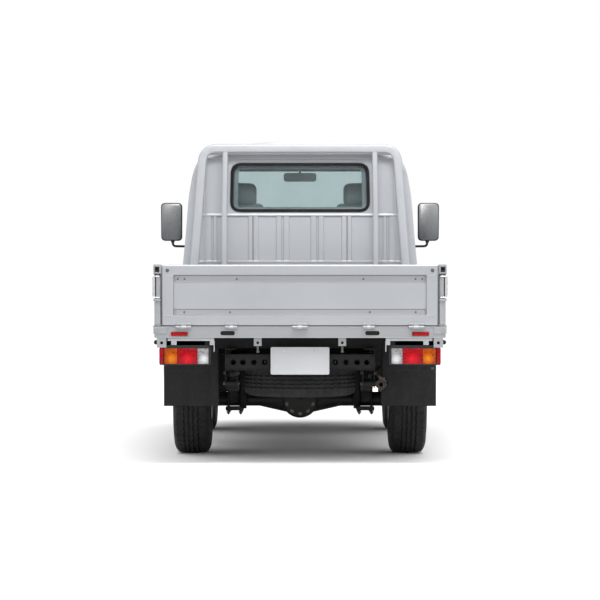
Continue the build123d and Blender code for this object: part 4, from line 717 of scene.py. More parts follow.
def hinge_leaves(name, body, hinges):
    """Moving leaves of the hinges, given by place and width: a knuckle on the pin, a lip, and two rivets."""
    steel, rivets = Shape(name), Shape(name + "_bolts")
    for place, width in hinges:
        knuckle = width / 6
        lip = width / 2 - 0.001
        steel.rod(place @ Vector((-knuckle, 0, 0)), place @ Vector((knuckle, 0, 0)), 0.0083, 20, 0.001)
        steel.box((-knuckle, 0.0, 0.0), (knuckle, 0.014, 0.008), 0.001, matrix=place)
        steel.box((-knuckle, 0.0092, 0.0), (knuckle, 0.0138, 0.013), 0.001, matrix=place)
        steel.box((-lip, 0.0115, 0.0105), (lip, 0.0142, 0.026), 0.001, matrix=place)
        for x in (-width / 3, width / 3):
            foot, head = (place @ Vector((x, y, 0.018)) for y in (0.0120, 0.0098))
            rivets.rod(foot, head, 0.004, 12, 0.0008)
    steel.done(BRIGHT_SILVER, body)
    rivets.done(ZINC, body)


hinge_leaves("tailgate_hinge_leaves", "tailgate",
             [(Matrix.Translation((x, SILL_Y - 0.014, HINGE_PIN_Z)), width) for x, width in TAILGATE_HINGES])
for word, side in SIDES.items():
    spots = [SIDE_GATE_REAR_Y + SIDE_LENGTH / 5 * (i + 0.5) for i in range(5)]
    hinge_leaves(f"side_hinge_leaves_{word}", f"side_gate_{word}",
                 [(along_side(side, HINGE_PIN_X, y, HINGE_PIN_Z), SIDE_HINGE_WIDTH) for y in spots])

# Rivets, weld seams, painted shade lines and corner bolts of the tailgate
make("tailgate_rivets", DARK_STEEL, [
    *[("rod", (x, 0.0165, z), (x, 0.013, z), 0.005, 14, 0.001)
      for x, z in ((0.694, 1.063), (0.656, 1.063), (0.360, 1.063), (0.657, 0.875), (0.397, 0.875))],
    ("bolt", (0.752, 0, 1.112), 0.007, 0.005),
], BOTH, SILL_Y, "tailgate")
make("tailgate_welds", BRIGHT_SILVER, [
    ("tube", [(0.7235, 0, 1.083), (0.775, 0, 1.083)], 0.0016, 0, 8),
    ("tube", [(0.720, 0, 0.8555), (0.762, 0, 0.8555)], 0.0022, 0, 8),
], BOTH, SILL_Y, "tailgate")
# Dark grey strips as painted shade: under the top rail, along the panel's steps, down the stiles and along the
# gate's foot
make("tailgate_shade_lines", SHADE_LINE_GREY, [
    *[("tube", [(-0.716, depth, z), (0.716, depth, z)], 0.0021, 0, 8)
      for z, depth in ((1.0835, 0.0030), (1.0400, 0.0120), (0.8925, 0.0120), (0.8590, 0.0100))],
    *[("tube", [(x, 0.0015, 0.8600), (x, 0.0015, 1.0820)], 0.0016, 0, 8) for x in (-0.7175, 0.7175)],
    ("tube", [(-0.776, 0.0065, 0.7985), (0.776, 0.0065, 0.7985)], 0.0022, 0, 8),
], y=SILL_Y, body="tailgate")

# Latches at the rear end of each side gate
for word, side in SIDES.items():
    for name, material, parts in (
        (f"side_latch_{word}", SHADED_SILL_SILVER, [
            ("box", (0.788, -0.013, 1.090), (0.832, 0.02, 1.147), 0.006),
            ("box", (0.790, -0.004, 0.806), (0.824, 0.004, 1.090), 0.002),
            ("box", (0.800, -0.010, 0.950), (0.815, -0.002, 1.092), 0.002),
            ("box", (0.790, -0.0135, 0.938), (0.832, -0.001, 0.950), 0.003),
        ]),
        (f"side_latch_loop_{word}", ZINC, [
            ("tube", [(0.796, -0.009, 1.078), (0.833, -0.009, 1.078), (0.833, -0.009, 0.958),
                      (0.796, -0.009, 0.958)], 0.0042, 0.012, 12),
            ("rod", (0.810, -0.014, 1.118), (0.810, -0.002, 1.118), 0.010, 20, 0.002),
        ]),
        # Black strips as painted shade along the gate's edge, beside the bar and under the latch's head, and a
        # black square on the head
        (f"side_latch_recess_{word}", BLACK_PLASTIC, [
            ("box", (0.797, -0.0140, 1.102), (0.824, -0.0125, 1.133), 0.0005),
            ("box", (0.7862, -0.0052, 0.806), (0.7912, -0.0020, 1.088), 0.0005),
            ("box", (0.8165, -0.0052, 0.956), (0.8215, -0.0020, 1.080), 0.0005),
            ("box", (0.790, -0.0138, 1.0885), (0.830, -0.002, 1.0925), 0.0005),
        ]),
    ):
        make(name, material, parts, (side,), SIDE_GATE_REAR_Y, f"side_gate_{word}")

# ---- Rear sill and what hangs from it ----------------------------------------------------------
for name, material, parts in (
    # Black sheets behind the sill's slots: painted shade in their hollows
    ("sill_slot_shade_sheets", BLACK_PLASTIC, [
        ("box", (0.371, 0.0105, 0.7445), (0.451, 0.0118, 0.7675), 0.0003),
    ]),
    ("sill_reflectors", REFLECTOR, [
        ("box", (0.636, -0.006, 0.740), (0.732, 0, 0.763), 0.004, 3),
    ]),
    ("corner_brackets", SHADED_SILL_SILVER, [
        ("box", (0.757, -0.004, 0.752), (0.831, 0.002, 0.792), 0.003),
        ("box", (0.826, -0.004, 0.752), (0.831, 0.05, 0.786), 0.002),
        ("bolt", (0.810, -0.004, 0.765), 0.007, 0.005),
    ]),
    ("under_sill_brackets", BRIGHT_SILVER, [
        ("box", (0.487, 0.006, 0.712), (0.752, 0.012, 0.7292), 0.001),
        ("box", (0.700, 0.006, 0.6885), (0.731, 0.012, 0.714), 0.002),
        ("box", (0.487, 0.006, 0.688), (0.512, 0.012, 0.714), 0.002),
        ("box", (0.485, 0.008, 0.650), (0.490, 0.028, 0.712), 0.001),
        ("bolt", (0.7155, 0.006, 0.704), 0.006, 0.005),
        ("bolt", (0.4995, 0.006, 0.702), 0.005, 0.004),
    ]),
    ("lamp_back_plates", BLACK_CHASSIS, [
        ("box", (0.487, 0.0200, 0.664), (0.768, 0.0230, 0.7285), 0.001),
    ]),
    ("hanging_tab_stems", DARK_STEEL, [
        ("rod", (0.240, 0.0175, 0.684), (0.240, 0.0175, 0.648), 0.006, 14, 0.001),
        ("rod", (0.240, 0.0175, 0.652), (0.240, 0.0175, 0.646), 0.010, 16, 0.001),
    ]),
    ("corner_tab_buffers", SEAL_RUBBER, [
        ("box", (0.770, 0.012, 0.680), (0.800, 0.030, 0.7292), 0.004),
        ("rod", (0.8165, 0.006, 0.704), (0.8165, 0.030, 0.704), 0.013, 24, 0.003),
    ]),
):
    make(name, material, parts, BOTH, SILL_Y)
make("sill_lower_lip", SHADED_GATE_SILVER, [
    ("box", (-0.80, -0.0022, 0.7292), (0.80, 0, 0.7355), 0.001),
    ("box", (-0.826, -0.002, 0.788), (0.826, 0, 0.7938), 0.001),
], y=SILL_Y)
DECK_RIB_PITCH = 0.08
make("deck_ribs", SILVER, [
    ("box", (DECK_RIB_PITCH * k - 0.012, -2.150, 0.7972), (DECK_RIB_PITCH * k + 0.012, 0.286, 0.8008), 0.0017)
    for k in range(-9, 10)
])

# ---- Tail lamps --------------------------------------------------------------------------------
HOUSING = ((0.523, 0.687), (0.797, 0.687), (0.797, 0.575), (0.510, 0.575), (0.505, 0.580), (0.505, 0.668))
housings = Shape("tail_lamp_bodies")
for s in BOTH:
    outline = flat_ring([(s * x, z) for x, z in HOUSING], 0.006, 3)
    housings.plate(outline, 0.066, standing(SILL_Y + 0.006), 0.003)
housings.done(BLACK_PLASTIC, stands_for=("tail_lamp_housings",))
for word, near, far, material in (
    ("clear", 0.519, 0.582, CLEAR_LENS), ("red", 0.5825, 0.695, RED_LENS),
    ("amber", 0.6955, 0.770, AMBER_LENS), ("edge", 0.776, 0.7985, RED_LENS),
):
    parts = [("box", (near, -0.0005, 0.581), (far, 0.020, 0.669), 0.004, 3)]
    if word != "edge":
        parts += [("rod", (x, -0.001, z), (x, 0.004, z), 0.0035, 12)
                  for x, z in ((near + 0.009, 0.589), (far - 0.009, 0.661))]
    make(f"tail_lamp_{word}_lenses", material, parts, BOTH, SILL_Y,
         stands_for=("tail_lamp_lenses",) if word == "clear" else ())

# ---- Number plate, mud flaps -------------------------------------------------------------------
PLATE_TOP, PLATE_MIDDLE = 0.675, 0.5965
plate = Shape("rear_plate")
corners = [(PLATE_LOW.x, PLATE_LOW.z), (PLATE_HIGH.x, PLATE_LOW.z), (PLATE_HIGH.x, PLATE_TOP),
           (PLATE_LOW.x, PLATE_TOP)]
plate.plate(flat_ring(corners, 0.010, 4), 0.0025, standing(PLATE_LOW.y), 0.0006)
border = [(x * 0.965, PLATE_LOW.y + 0.0002, (z - PLATE_MIDDLE) * 0.93 + PLATE_MIDDLE) for x, z in corners]
plate.sweep(rounded_path(border, 0.008, True, 4), oblong_section(0.0045, 0.0020, 0.0009, 2), True, (0, 1, 0))
plate.box((-0.100, PLATE_LOW.y + 0.0025, 0.557), (0.100, -2.086, 0.617), 0.003)
plate.done(PLATE_PAINT, stands_for=("number_plate",))
make("rear_plate_bolts", ZINC, [("bolt", (0.090, -0.0002, 0.655), 0.0065, 0.005)], BOTH, PLATE_LOW.y)

FLAP_LOW, FLAP_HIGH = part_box("mud_flaps")
TAILPIPE_X, TAILPIPE_Z = 0.473, 0.450
flap_rows = spaced(FLAP_LOW.z, FLAP_HIGH.z - 0.062, 0.010, (0.526,), 0.002, 0.008)


def round_tailpipe(x, z):
    return hypot(x - TAILPIPE_X, z - TAILPIPE_Z) < 0.040


for word, side in SIDES.items():
    def flap_place(x, z):
        """A slight fold near the foot, waves that grow downward, and the top drawn back under its bar."""
        fold = 0.004 * ease(0.530 - z, 0.0, 0.008)
        wave = 0.0022 * sin(23 * x + 3 * side) * ease(0.62 - z, 0.0, 0.30) + 0.0012 * sin(41 * x + 19 * z)
        pull = 0.004 * ease(z, 0.66, 0.70)
        return (side * x, FLAP_LOW.y + 0.003 + fold + wave - pull, z)

    flap = Shape(f"mud_flap_{word}")
    flap.sheet(flap_place, spaced(0.480, 0.806, 0.012), flap_rows,
               round_tailpipe if word == "right" else None)
    flap.done(FLAP_RUBBER, stands_for=("mud_flaps",), thickness=0.005)
    make(f"mud_flap_holder_{word}", BLACK_CHASSIS, [
        ("box", (0.523, 0.009, 0.650), (0.763, 0.030, 0.766), 0.003),
        ("box", (0.484, -0.002, 0.678), (0.802, 0.001, 0.698), 0.001),
        *[("bolt", (x, -0.002, 0.688), 0.006, 0.005) for x in (0.51, 0.58, 0.65, 0.72, 0.785)],
    ], (side,), FLAP_LOW.y)
    make(f"mud_flap_clip_{word}", DARK_STEEL, [
        ("box", (0.775, -0.002, 0.534), (0.792, 0.003, 0.546), 0.001),
    ], (side,), FLAP_LOW.y)

# ---- Guard arch --------------------------------------------------------------------------------
arch = Shape("guard_arch_frame")
arch_y = (ARCH_LOW.y + ARCH_HIGH.y) / 2
right_leg = [(0.745, 0.797), (0.7285, 1.200), (0.669, 1.992)]
run = [(x, arch_y, z) for x, z in right_leg] + [(-x, arch_y, z) for x, z in reversed(right_leg)]
arch.sweep(rounded_path(run, 0.105, steps=14), oblong_section(0.060, 0.034, 0.013, 5), up=(0, 1, 0))
for s in BOTH:
    bar = [(s * x, arch_y, z) for x, z in ((0.524, 1.140), (0.522, 1.60), (0.516, 1.972))]
    arch.sweep(bar, oblong_section(0.038, 0.030, 0.010, 4), up=(0, 1, 0))
    arch.box((s * 0.524 - 0.032, arch_y - 0.016, 1.140), (s * 0.524 + 0.032, arch_y + 0.010, 1.152), 0.003)
arch.done(SILVER, stands_for=("guard_arch",))
make("guard_arch_bolts", ZINC, [
    ("bolt", (x, 0.0005, z), 0.008, 0.006) for x, z in ((0.738, 0.86), (0.734, 0.97), (0.731, 1.08))
], BOTH, ARCH_LOW.y)
make("headboard_swages", SILVER, [
    ("box", (-0.69, 0.3005, z - 0.016), (0.69, 0.3060, z + 0.016), 0.0025, 3)
    for z in (0.86, 0.94, 1.02, 1.10)
])

# ---- Back of the cab ---------------------------------------------------------------------------
BACK_Y = CAB_BACK_LOW.y
RIBS = ((0.075, 0.115), (0.128, 0.166), (0.290, 0.325), (0.331, 0.360), (0.578, 0.604))
FIELD_LOW, FIELD_TOP = 1.217, 1.527
WINDOW_X, WINDOW_LOW, WINDOW_TOP = 0.470, 1.575, 1.880


def swell(value, start, full, falls, end):
    """0 up to start, 1 from full until it falls, and 0 again past the end."""
    return ease(value, start, full) * ease(-value, -end, -falls)


def back_depth(x, z):
    """How far the pressed back panel lies ahead of its outermost plane."""
    x = abs(x)
    field = swell(z, FIELD_LOW - 0.001, FIELD_LOW + 0.006, FIELD_TOP - 0.006, FIELD_TOP + 0.001)
    field *= 1 - ease(x, 0.612, 0.625)
    ridge = max(swell(x, near - 0.002, near + 0.004, far - 0.004, far + 0.002) for near, far in RIBS)
    depth = 0.004 + 0.008 * field * (1 - ridge)
    # The rolls under and over the field
    depth -= 0.0035 * swell(z, FIELD_LOW - 0.018, FIELD_LOW - 0.012, FIELD_LOW - 0.004, FIELD_LOW + 0.001)
    depth -= 0.0035 * swell(z, FIELD_TOP - 0.002, FIELD_TOP + 0.003, FIELD_TOP + 0.011, FIELD_TOP + 0.018)
    # The step and the flange at the sides, the lip at the top, and the swages under the field
    depth += 0.0035 * ease(x, 0.655, 0.668)
    depth -= 0.004 * ease(x, 0.688, 0.700)
    depth -= 0.010 * ease(z, 1.917, 1.932)
    for low in (0.86, 0.98, 1.10):
        depth += 0.004 * swell(z, low, low + 0.006, low + 0.044, low + 0.050) * (1 - ease(x, 0.585, 0.60))
    return depth


def in_window(x, z):
    return abs(x) < WINDOW_X and WINDOW_LOW < z < WINDOW_TOP


back_marks = [s * x for s in BOTH for x in (*sum(RIBS, ()), WINDOW_X, 0.662, 0.694, 0.618)]
back = Shape("cab_back_skin")
level_marks = (FIELD_LOW, FIELD_LOW - 0.015, FIELD_TOP, FIELD_TOP + 0.014, WINDOW_LOW, WINDOW_TOP, 1.924)
back.sheet(lambda x, z: (x, BACK_Y + back_depth(x, z), z),
           spaced(-0.700, 0.700, 0.02, back_marks, 0.003, 0.006),
           spaced(0.735, 1.930, 0.02, level_marks, 0.003, 0.009), in_window)
back.done(SILVER, stands_for=("cab_back_panel",))
# The model's own panel, cut down to its outer ends and moved ahead of the skin, closes the cab's corners
CORE_SHIFT = 0.014
core = Shape("cab_back_core")
for s in BOTH:
    end = bmesh.new()
    end.from_mesh(NODES["cab_back_panel"].data)
    bmesh.ops.bisect_plane(end, geom=end.verts[:] + end.edges[:] + end.faces[:], plane_co=(s * 0.56, 0, 0),
                           plane_no=(s, 0, 0), clear_inner=True)
    for vertex in end.verts:
        share = (vertex.co.y - BACK_Y) / (CAB_BACK_HIGH.y - BACK_Y)
        vertex.co.y = BACK_Y + CORE_SHIFT + share * (CAB_BACK_HIGH.y - 0.006 - BACK_Y - CORE_SHIFT)
    core.take(end)
core.done(SILVER)
lining = Shape("cab_back_lining")
lining.sheet(lambda x, z: (x, CAB_BACK_HIGH.y - 0.004, z),
             spaced(-0.69, 0.69, 0.03, (-0.455, 0.455), 0.004, 0.012),
             spaced(0.775, 1.930, 0.03, (1.590, 1.862), 0.004, 0.012),
             lambda x, z: abs(x) < 0.452 and 1.593 < z < 1.862)
lining.done(TRIM_PLASTIC, thickness=0.004)


def window_frame(shape, foot_x, top_x, low, top, y, radius, steps, section):
    """A moulding round the rear window, a little narrower at the top."""
    ring = [(foot_x, y, low), (top_x, y, top), (-top_x, y, top), (-foot_x, y, low)]
    shape.sweep(rounded_path(ring, radius, True, steps), section, True, (0, 1, 0))


gasket = Shape("rear_window_rubber")
for y, width, depth in ((BACK_Y - 0.001, 0.020, 0.014), (BACK_Y + 0.010, 0.017, 0.026)):
    section = oblong_section(width, depth, 0.0055, 4)
    window_frame(gasket, 0.4780, 0.4710, 1.5670, 1.8885, y, 0.065, 10, section)
gasket.done(SEAL_RUBBER)
trim = Shape("rear_window_inner_trim")
window_frame(trim, 0.4500, 0.4440, 1.5700, 1.8720, 0.4700, 0.050, 8, oblong_section(0.032, 0.020, 0.006, 3))
trim.done(TRIM_PLASTIC)
make("roof_rear_lip", BRIGHT_SILVER, [
    ("box", (-0.660, -0.008, 1.9275), (0.660, 0.001, 1.9335), 0.001),
    ("box", (-0.640, -0.016, 1.953), (0.640, 0.004, 1.971), 0.005, 3),
], y=BACK_Y)

# ---- Mirrors -----------------------------------------------------------------------------------
MIRROR_X, MIRROR_Z = 0.9745, 1.537
for word, side in SIDES.items():
    body = f"door_{word}"
    outline = flat_ring([(side * x, z) for x, z in ((0.8945, 1.393), (1.0525, 1.393), (1.0550, 1.681),
                                                    (0.8940, 1.681))], 0.034, 7)
    inset = [(side * MIRROR_X + (x - side * MIRROR_X) * 0.912, MIRROR_Z + (z - MIRROR_Z) * 0.950)
             for x, z in outline]
    head = Shape(f"mirror_head_{word}").plate(outline, 0.055, standing(1.678), 0.010)
    head.done(BLACK_PLASTIC, body, stands_for=(f"mirror_{word}",))
    Shape(f"mirror_face_{word}").plate(inset, 0.0025, standing(1.6765), 0.0006).done(MIRROR, body)
    make(f"mirror_stalk_{word}", BLACK_PLASTIC, [
        ("tube", [(0.966, 1.705, 1.411), (0.966, 1.705, 1.353), (0.800, 1.817, 1.353)], 0.0088, 0.03, 16),
        ("rod", (0.966, 1.705, 1.380), (0.966, 1.705, 1.396), 0.014, 20, 0.003),
        ("box", (0.785, 1.795, 1.232), (0.858, 1.850, 1.438), 0.014, 4),
    ], (side,), body=body)


# ---- Wheels ------------------------------------------------------------------------------------
RIM_EDGE = 0.190
STANDARD_HALF = 0.1125      # half the rear tyres' width; the tread's figures are for that
TREAD_STEPS = 252


def tyre(name, body, node, centre, axis, width):
    """Four zigzag grooves round the tread, with slits across the blocks, and plain side walls with ribs."""
    half = width / 2
    tread = half * 0.73
    grooves = [s * x * half / STANDARD_HALF for s in BOTH for x in (0.014, 0.042)]
    across = {round(groove + edge, 5) for groove in grooves for edge in (-0.0046, -0.0032, 0.0032, 0.0046)}
    for k in range(13):
        x = -tread + 2 * tread * k / 12
        if all(abs(x - groove) > 0.0065 for groove in grooves):
            across.add(round(x, 5))
    mid = (TYRE_RADIUS + RIM_EDGE) / 2
    wall = [(share * half, radius) for share, radius in (
        (0.80, TYRE_RADIUS - 0.007), (0.895, TYRE_RADIUS - 0.021), (0.955, TYRE_RADIUS - 0.036),
        (0.975, TYRE_RADIUS - 0.044), (0.970, TYRE_RADIUS - 0.048), (0.988, mid + 0.012), (0.998, mid - 0.004),
        (0.980, mid - 0.028), (0.930, mid - 0.045), (0.880, 0.204), (0.875, 0.198), (0.815, 0.1945),
        (0.740, 0.1905),
    )]
    part = bmesh.new()
    rings = []
    for k in range(TREAD_STEPS):
        angle = 2 * pi * k / TREAD_STEPS
        zig = 0.0030 * (abs((k % 6) - 3) / 1.5 - 1)
        slit = k % 6 == 0
        row = [(-x, r) for x, r in reversed(wall)]
        for x in sorted(across):
            base = TYRE_RADIUS - 0.0008 - 0.0036 * (x / tread) ** 2
            near = min(abs(x - groove) for groove in grooves)
            if near < 0.0040:
                base -= 0.0085
            elif slit and near > 0.0060 and abs(x) > 0.030 * half / STANDARD_HALF:
                base -= 0.0050
            row.append((x + (zig if near < 0.0065 else 0.6 * zig), base))
        row += wall
        ring = []
        for i, (x, r) in enumerate(row):
            notch = 0.0030 if slit and i in (len(wall) - 2, len(row) - len(wall) + 1) else 0.0
            ring.append(part.verts.new(((r - notch) * cos(angle), (r - notch) * sin(angle), x)))
        rings.append(ring)
    skin(part, rings, True, True)
    bmesh.ops.recalc_face_normals(part, faces=part.faces)
    whole = Shape(name).take(part, Matrix.Translation(centre) @ turn_to(axis))
    whole.done(TYRE_RUBBER, body, stands_for=(node,))


def rim(name, body, node, centre, axis, width, drum):
    """Pressed steel rim: flanged barrel, dished disc with round windows, hub and nuts."""
    half = width / 2 * 0.70
    disc = half * 0.45
    centre, axis = Vector(centre), Vector(axis)
    shape = Shape(name)
    shape.lathe([
        (0.196, half), (0.199, half - 0.003), (0.196, half - 0.012), (0.1895, half - 0.016),
        (0.187, half - 0.040), (0.172, half - 0.058), (0.170, 0.0), (0.176, -half + 0.05),
        (0.187, -half + 0.020), (0.1895, -half + 0.014), (0.196, -half + 0.010), (0.199, -half + 0.003),
        (0.196, -half), (0.190, -half + 0.002), (0.183, -half + 0.018), (0.171, -half + 0.054), (0.165, 0.0),
        (0.166, half - 0.062), (0.182, half - 0.042), (0.185, half - 0.014), (0.190, half - 0.004),
    ], centre, axis, 72, True)
    shape.lathe([(radius, disc + ahead) for radius, ahead in (
        (0.168, -0.012), (0.158, 0.000), (0.146, 0.004), (0.118, 0.004), (0.104, -0.002), (0.092, -0.012),
        (0.052, -0.014), (0.050, -0.012), (0.050, 0.012), (0.046, 0.017), (0.036, 0.020), (0.023, 0.020),
        (0.023, -0.024), (0.048, -0.022), (0.092, -0.020), (0.104, -0.010), (0.118, -0.004), (0.146, -0.004),
        (0.156, -0.008), (0.166, -0.020),
    )], centre, axis, 72, True)
    wheel = shape.done(RIM_PAINT, body, stands_for=(node,))
    radial = axis.orthogonal().normalized()

    def on_circle(count, radius):
        turns = [Matrix.Rotation(2 * pi * k / count, 3, axis) for k in range(count)]
        return [centre + turn @ (radial * radius) for turn in turns]

    cutter = Shape(name + "_cutter")
    for spot in on_circle(8, 0.131):
        cutter.rod(spot + axis * (disc - 0.03), spot + axis * (disc + 0.03), 0.0135, 20)
    tool = cutter.done(RIM_PAINT, ride=False)
    apply_modifier(wheel, "BOOLEAN", object=tool, operation="DIFFERENCE", solver="EXACT")
    bpy.data.objects.remove(tool)
    nuts = Shape(name + "_nuts")
    for spot in on_circle(6, 0.073):
        nuts.bolt(spot + axis * (disc - 0.014), 0.011, 0.018, axis)
    nuts.rod(centre + axis * (disc + 0.016), centre + axis * (disc + 0.034), 0.034, 32, 0.004)
    nuts.done(DARK_STEEL if drum else ZINC, body)
    if drum:
        profile = [(radius, disc - behind) for radius, behind in (
            (0.137, 0.020), (0.138, 0.074), (0.128, 0.075), (0.127, 0.030), (0.060, 0.028), (0.060, 0.020))]
        Shape(name + "_drum").lathe(profile, centre, axis, 64, True).done(DARK_STEEL, body)


for row, axle_y, track, width in (("rear", REAR_AXLE_Y, 0.66, 0.225), ("front", FRONT_AXLE_Y, 0.705, 0.195)):
    for word, side in SIDES.items():
        centre = (side * track, axle_y, TYRE_RADIUS)
        body = f"wheel_{row}_{word}"
        tyre(f"tread_tyre_{row}_{word}", body, f"tyre_{row}_{word}", centre, (side, 0, 0), width)
        rim(f"steel_rim_{row}_{word}", body, f"rim_{row}_{word}", centre, (side, 0, 0), width, row == "rear")
spare_centre = sum(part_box("spare_tyre"), Vector()) / 2
tyre("tread_spare_tyre", CHASSIS, "spare_tyre", spare_centre, (0, 0, -1), 0.185)
rim("steel_spare_rim", CHASSIS, "spare_rim", spare_centre, (0, 0, -1), 0.185, False)


# ---- Seats -------------------------------------------------------------------------------------
SEAT_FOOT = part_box("seats")[0].z
SEAT_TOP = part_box("seats")[1].z
SEAT_X = 0.460
SWELL_FRAMES = 20
SEAM_WIDTH = 0.010


def swollen(piece):
    """How far each vertex moves when the piece is blown up as cloth."""
    cloth = piece.modifiers.new("cloth", "CLOTH")
    cloth.settings.quality = 4
    cloth.settings.use_pressure = True
    cloth.settings.uniform_pressure_force = 4.0
    cloth.settings.effector_weights.gravity = 0.0
    cloth.settings.tension_stiffness = 14
    cloth.settings.compression_stiffness = 14
    cloth.point_cache.frame_start, cloth.point_cache.frame_end = 1, SWELL_FRAMES
    for step in range(1, SWELL_FRAMES + 1):
        bpy.context.scene.frame_set(step)
    evaluated = piece.evaluated_get(bpy.context.evaluated_depsgraph_get())
    result = bpy.data.meshes.new_from_object(evaluated)
    moved = [after.co - before.co for after, before in zip(result.vertices, piece.data.vertices)]
    piece.modifiers.clear()
    bpy.context.scene.frame_set(1)
    return moved


def cushion(name, low, high, bevel, puff, form, seams):
    """A stuffed cushion: a remeshed block blown up as cloth by at most the puff, fitted back between low and
    high, formed, and drawn in along its seams.  A seam is given by the axis it crosses, its place, its depth
    and the axis that its face looks along."""
    centre = (Vector(low) + Vector(high)) / 2
    piece = Shape(name).box(low, high, bevel, 4).done(SEAT_CLOTH, ride=False)
    apply_modifier(piece, "REMESH", mode="VOXEL", voxel_size=0.010, use_smooth_shade=True)
    vertices = piece.data.vertices
    moved = swollen(piece)
    for vertex, shift in zip(vertices, moved):
        if shift.length > puff:
            shift = shift.normalized() * puff
        vertex.co += shift
    low_now = [min(v.co[i] for v in vertices) for i in range(3)]
    high_now = [max(v.co[i] for v in vertices) for i in range(3)]
    for vertex in vertices:
        for i in range(3):
            share = (vertex.co[i] - low_now[i]) / (high_now[i] - low_now[i])
            vertex.co[i] = low[i] + share * (high[i] - low[i])
        if form is not None:
            vertex.co = form(vertex.co.copy())
        for axis, place, depth, face_axis in seams:
            if vertex.co[face_axis] > centre[face_axis]:
                vertex.co[face_axis] -= depth * exp(-((vertex.co[axis] - place) / SEAM_WIDTH) ** 2)
    apply_modifier(piece, "SUBSURF", levels=1, render_levels=1)
    for polygon in piece.data.polygons:
        polygon.use_smooth = True
    return piece


def seat_back_form(v):
    """Shoulders narrower than the hips, and bolsters forward of the middle."""
    x = v.x - SEAT_X
    rise = (v.z - SEAT_FOOT - 0.04) / 0.64
    x *= 1.0 - 0.07 * ease(rise, 0.45, 1.0)
    if v.y > 0.74:
        v.y -= 0.020 * (1 - ease(abs(x), 0.10, 0.17))
    return Vector((SEAT_X + x, v.y, v.z))


def seat_pan_form(v):
    """Hollow between the bolsters, and lower toward the back."""
    if v.z > SEAT_FOOT + 0.08:
        v.z -= 0.018 * (1 - ease(abs(v.x - SEAT_X), 0.12, 0.20))
        v.z -= 0.010 * ease(-v.y, -0.98, -0.76)
    return v


for name, half_width, (y_low, y_high), (z_low, z_high), bevel, puff, form, seams in (
    ("seat_cushion", 0.250, (0.730, 1.210), (SEAT_FOOT, SEAT_FOOT + 0.140), 0.045, 0.020, seat_pan_form,
     ((0, SEAT_X - 0.155, 0.008, 2), (0, SEAT_X + 0.155, 0.008, 2), (1, 0.88, 0.007, 2),
      (1, 1.02, 0.007, 2))),
    ("seat_back", 0.220, (0.672, 0.790), (SEAT_FOOT + 0.045, SEAT_FOOT + 0.700), 0.042, 0.018, seat_back_form,
     ((0, SEAT_X - 0.135, 0.008, 1), (0, SEAT_X + 0.135, 0.008, 1), (2, 1.18, 0.007, 1),
      (2, 1.34, 0.007, 1))),
    ("seat_headrest", 0.152, (0.680, 0.778), (SEAT_FOOT + 0.668, SEAT_TOP + 0.016), 0.060, 0.014, None, ()),
):
    right = cushion(f"{name}_right", (SEAT_X - half_width, y_low, z_low),
                    (SEAT_X + half_width, y_high, z_high), bevel, puff, form, seams)
    left = bpy.data.objects.new(f"{name}_left", right.data.copy())
    bpy.context.scene.collection.objects.link(left)
    for vertex in left.data.vertices:
        vertex.co.x = -vertex.co.x
    left.data.flip_normals()
    for piece in (right, left):
        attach(piece, CHASSIS)
        if name == "seat_cushion":
            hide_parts("seats")
make("headrest_posts", ZINC, [
    ("rod", (SEAT_X + dx, 0.730, 1.58), (SEAT_X + dx, 0.730, 1.66), 0.006, 14) for dx in (-0.05, 0.05)
], BOTH)
make("seat_base_rails", DARK_STEEL, [
    ("box", (SEAT_X + dx - 0.015, 0.76, 0.9300), (SEAT_X + dx + 0.015, 1.19, 0.9365), 0.002)
    for dx in (-0.17, 0.17)
], BOTH)

# ---- Windscreen, door windows and handles ------------------------------------------------------
shell = caster("cab_front_panel", "cab_sides", "cab_roof")
corners = [(0.733, 0, 1.229), (0.661, 0, 1.935), (-0.661, 0, 1.935), (-0.733, 0, 1.229)]
ring = laid_on(shell, [(p.x, 2.0, p.z) for p in divided(corners, 0.055, 8, 0.05)], BACKWARD)
Shape("windscreen_rubber").sweep(ring, circle_section(0.0125, 10), True).done(SEAL_RUBBER)

DOOR_X = 0.85
DOOR_WINDOW_LOW, DOOR_WINDOW_TOP, DOOR_WINDOW_REAR = 1.241, 1.836, 0.889


def pillar_y(z):
    """Where the windscreen pillar's rear edge passes a height."""
    return 1.920 - 0.34 * (z - 1.235)


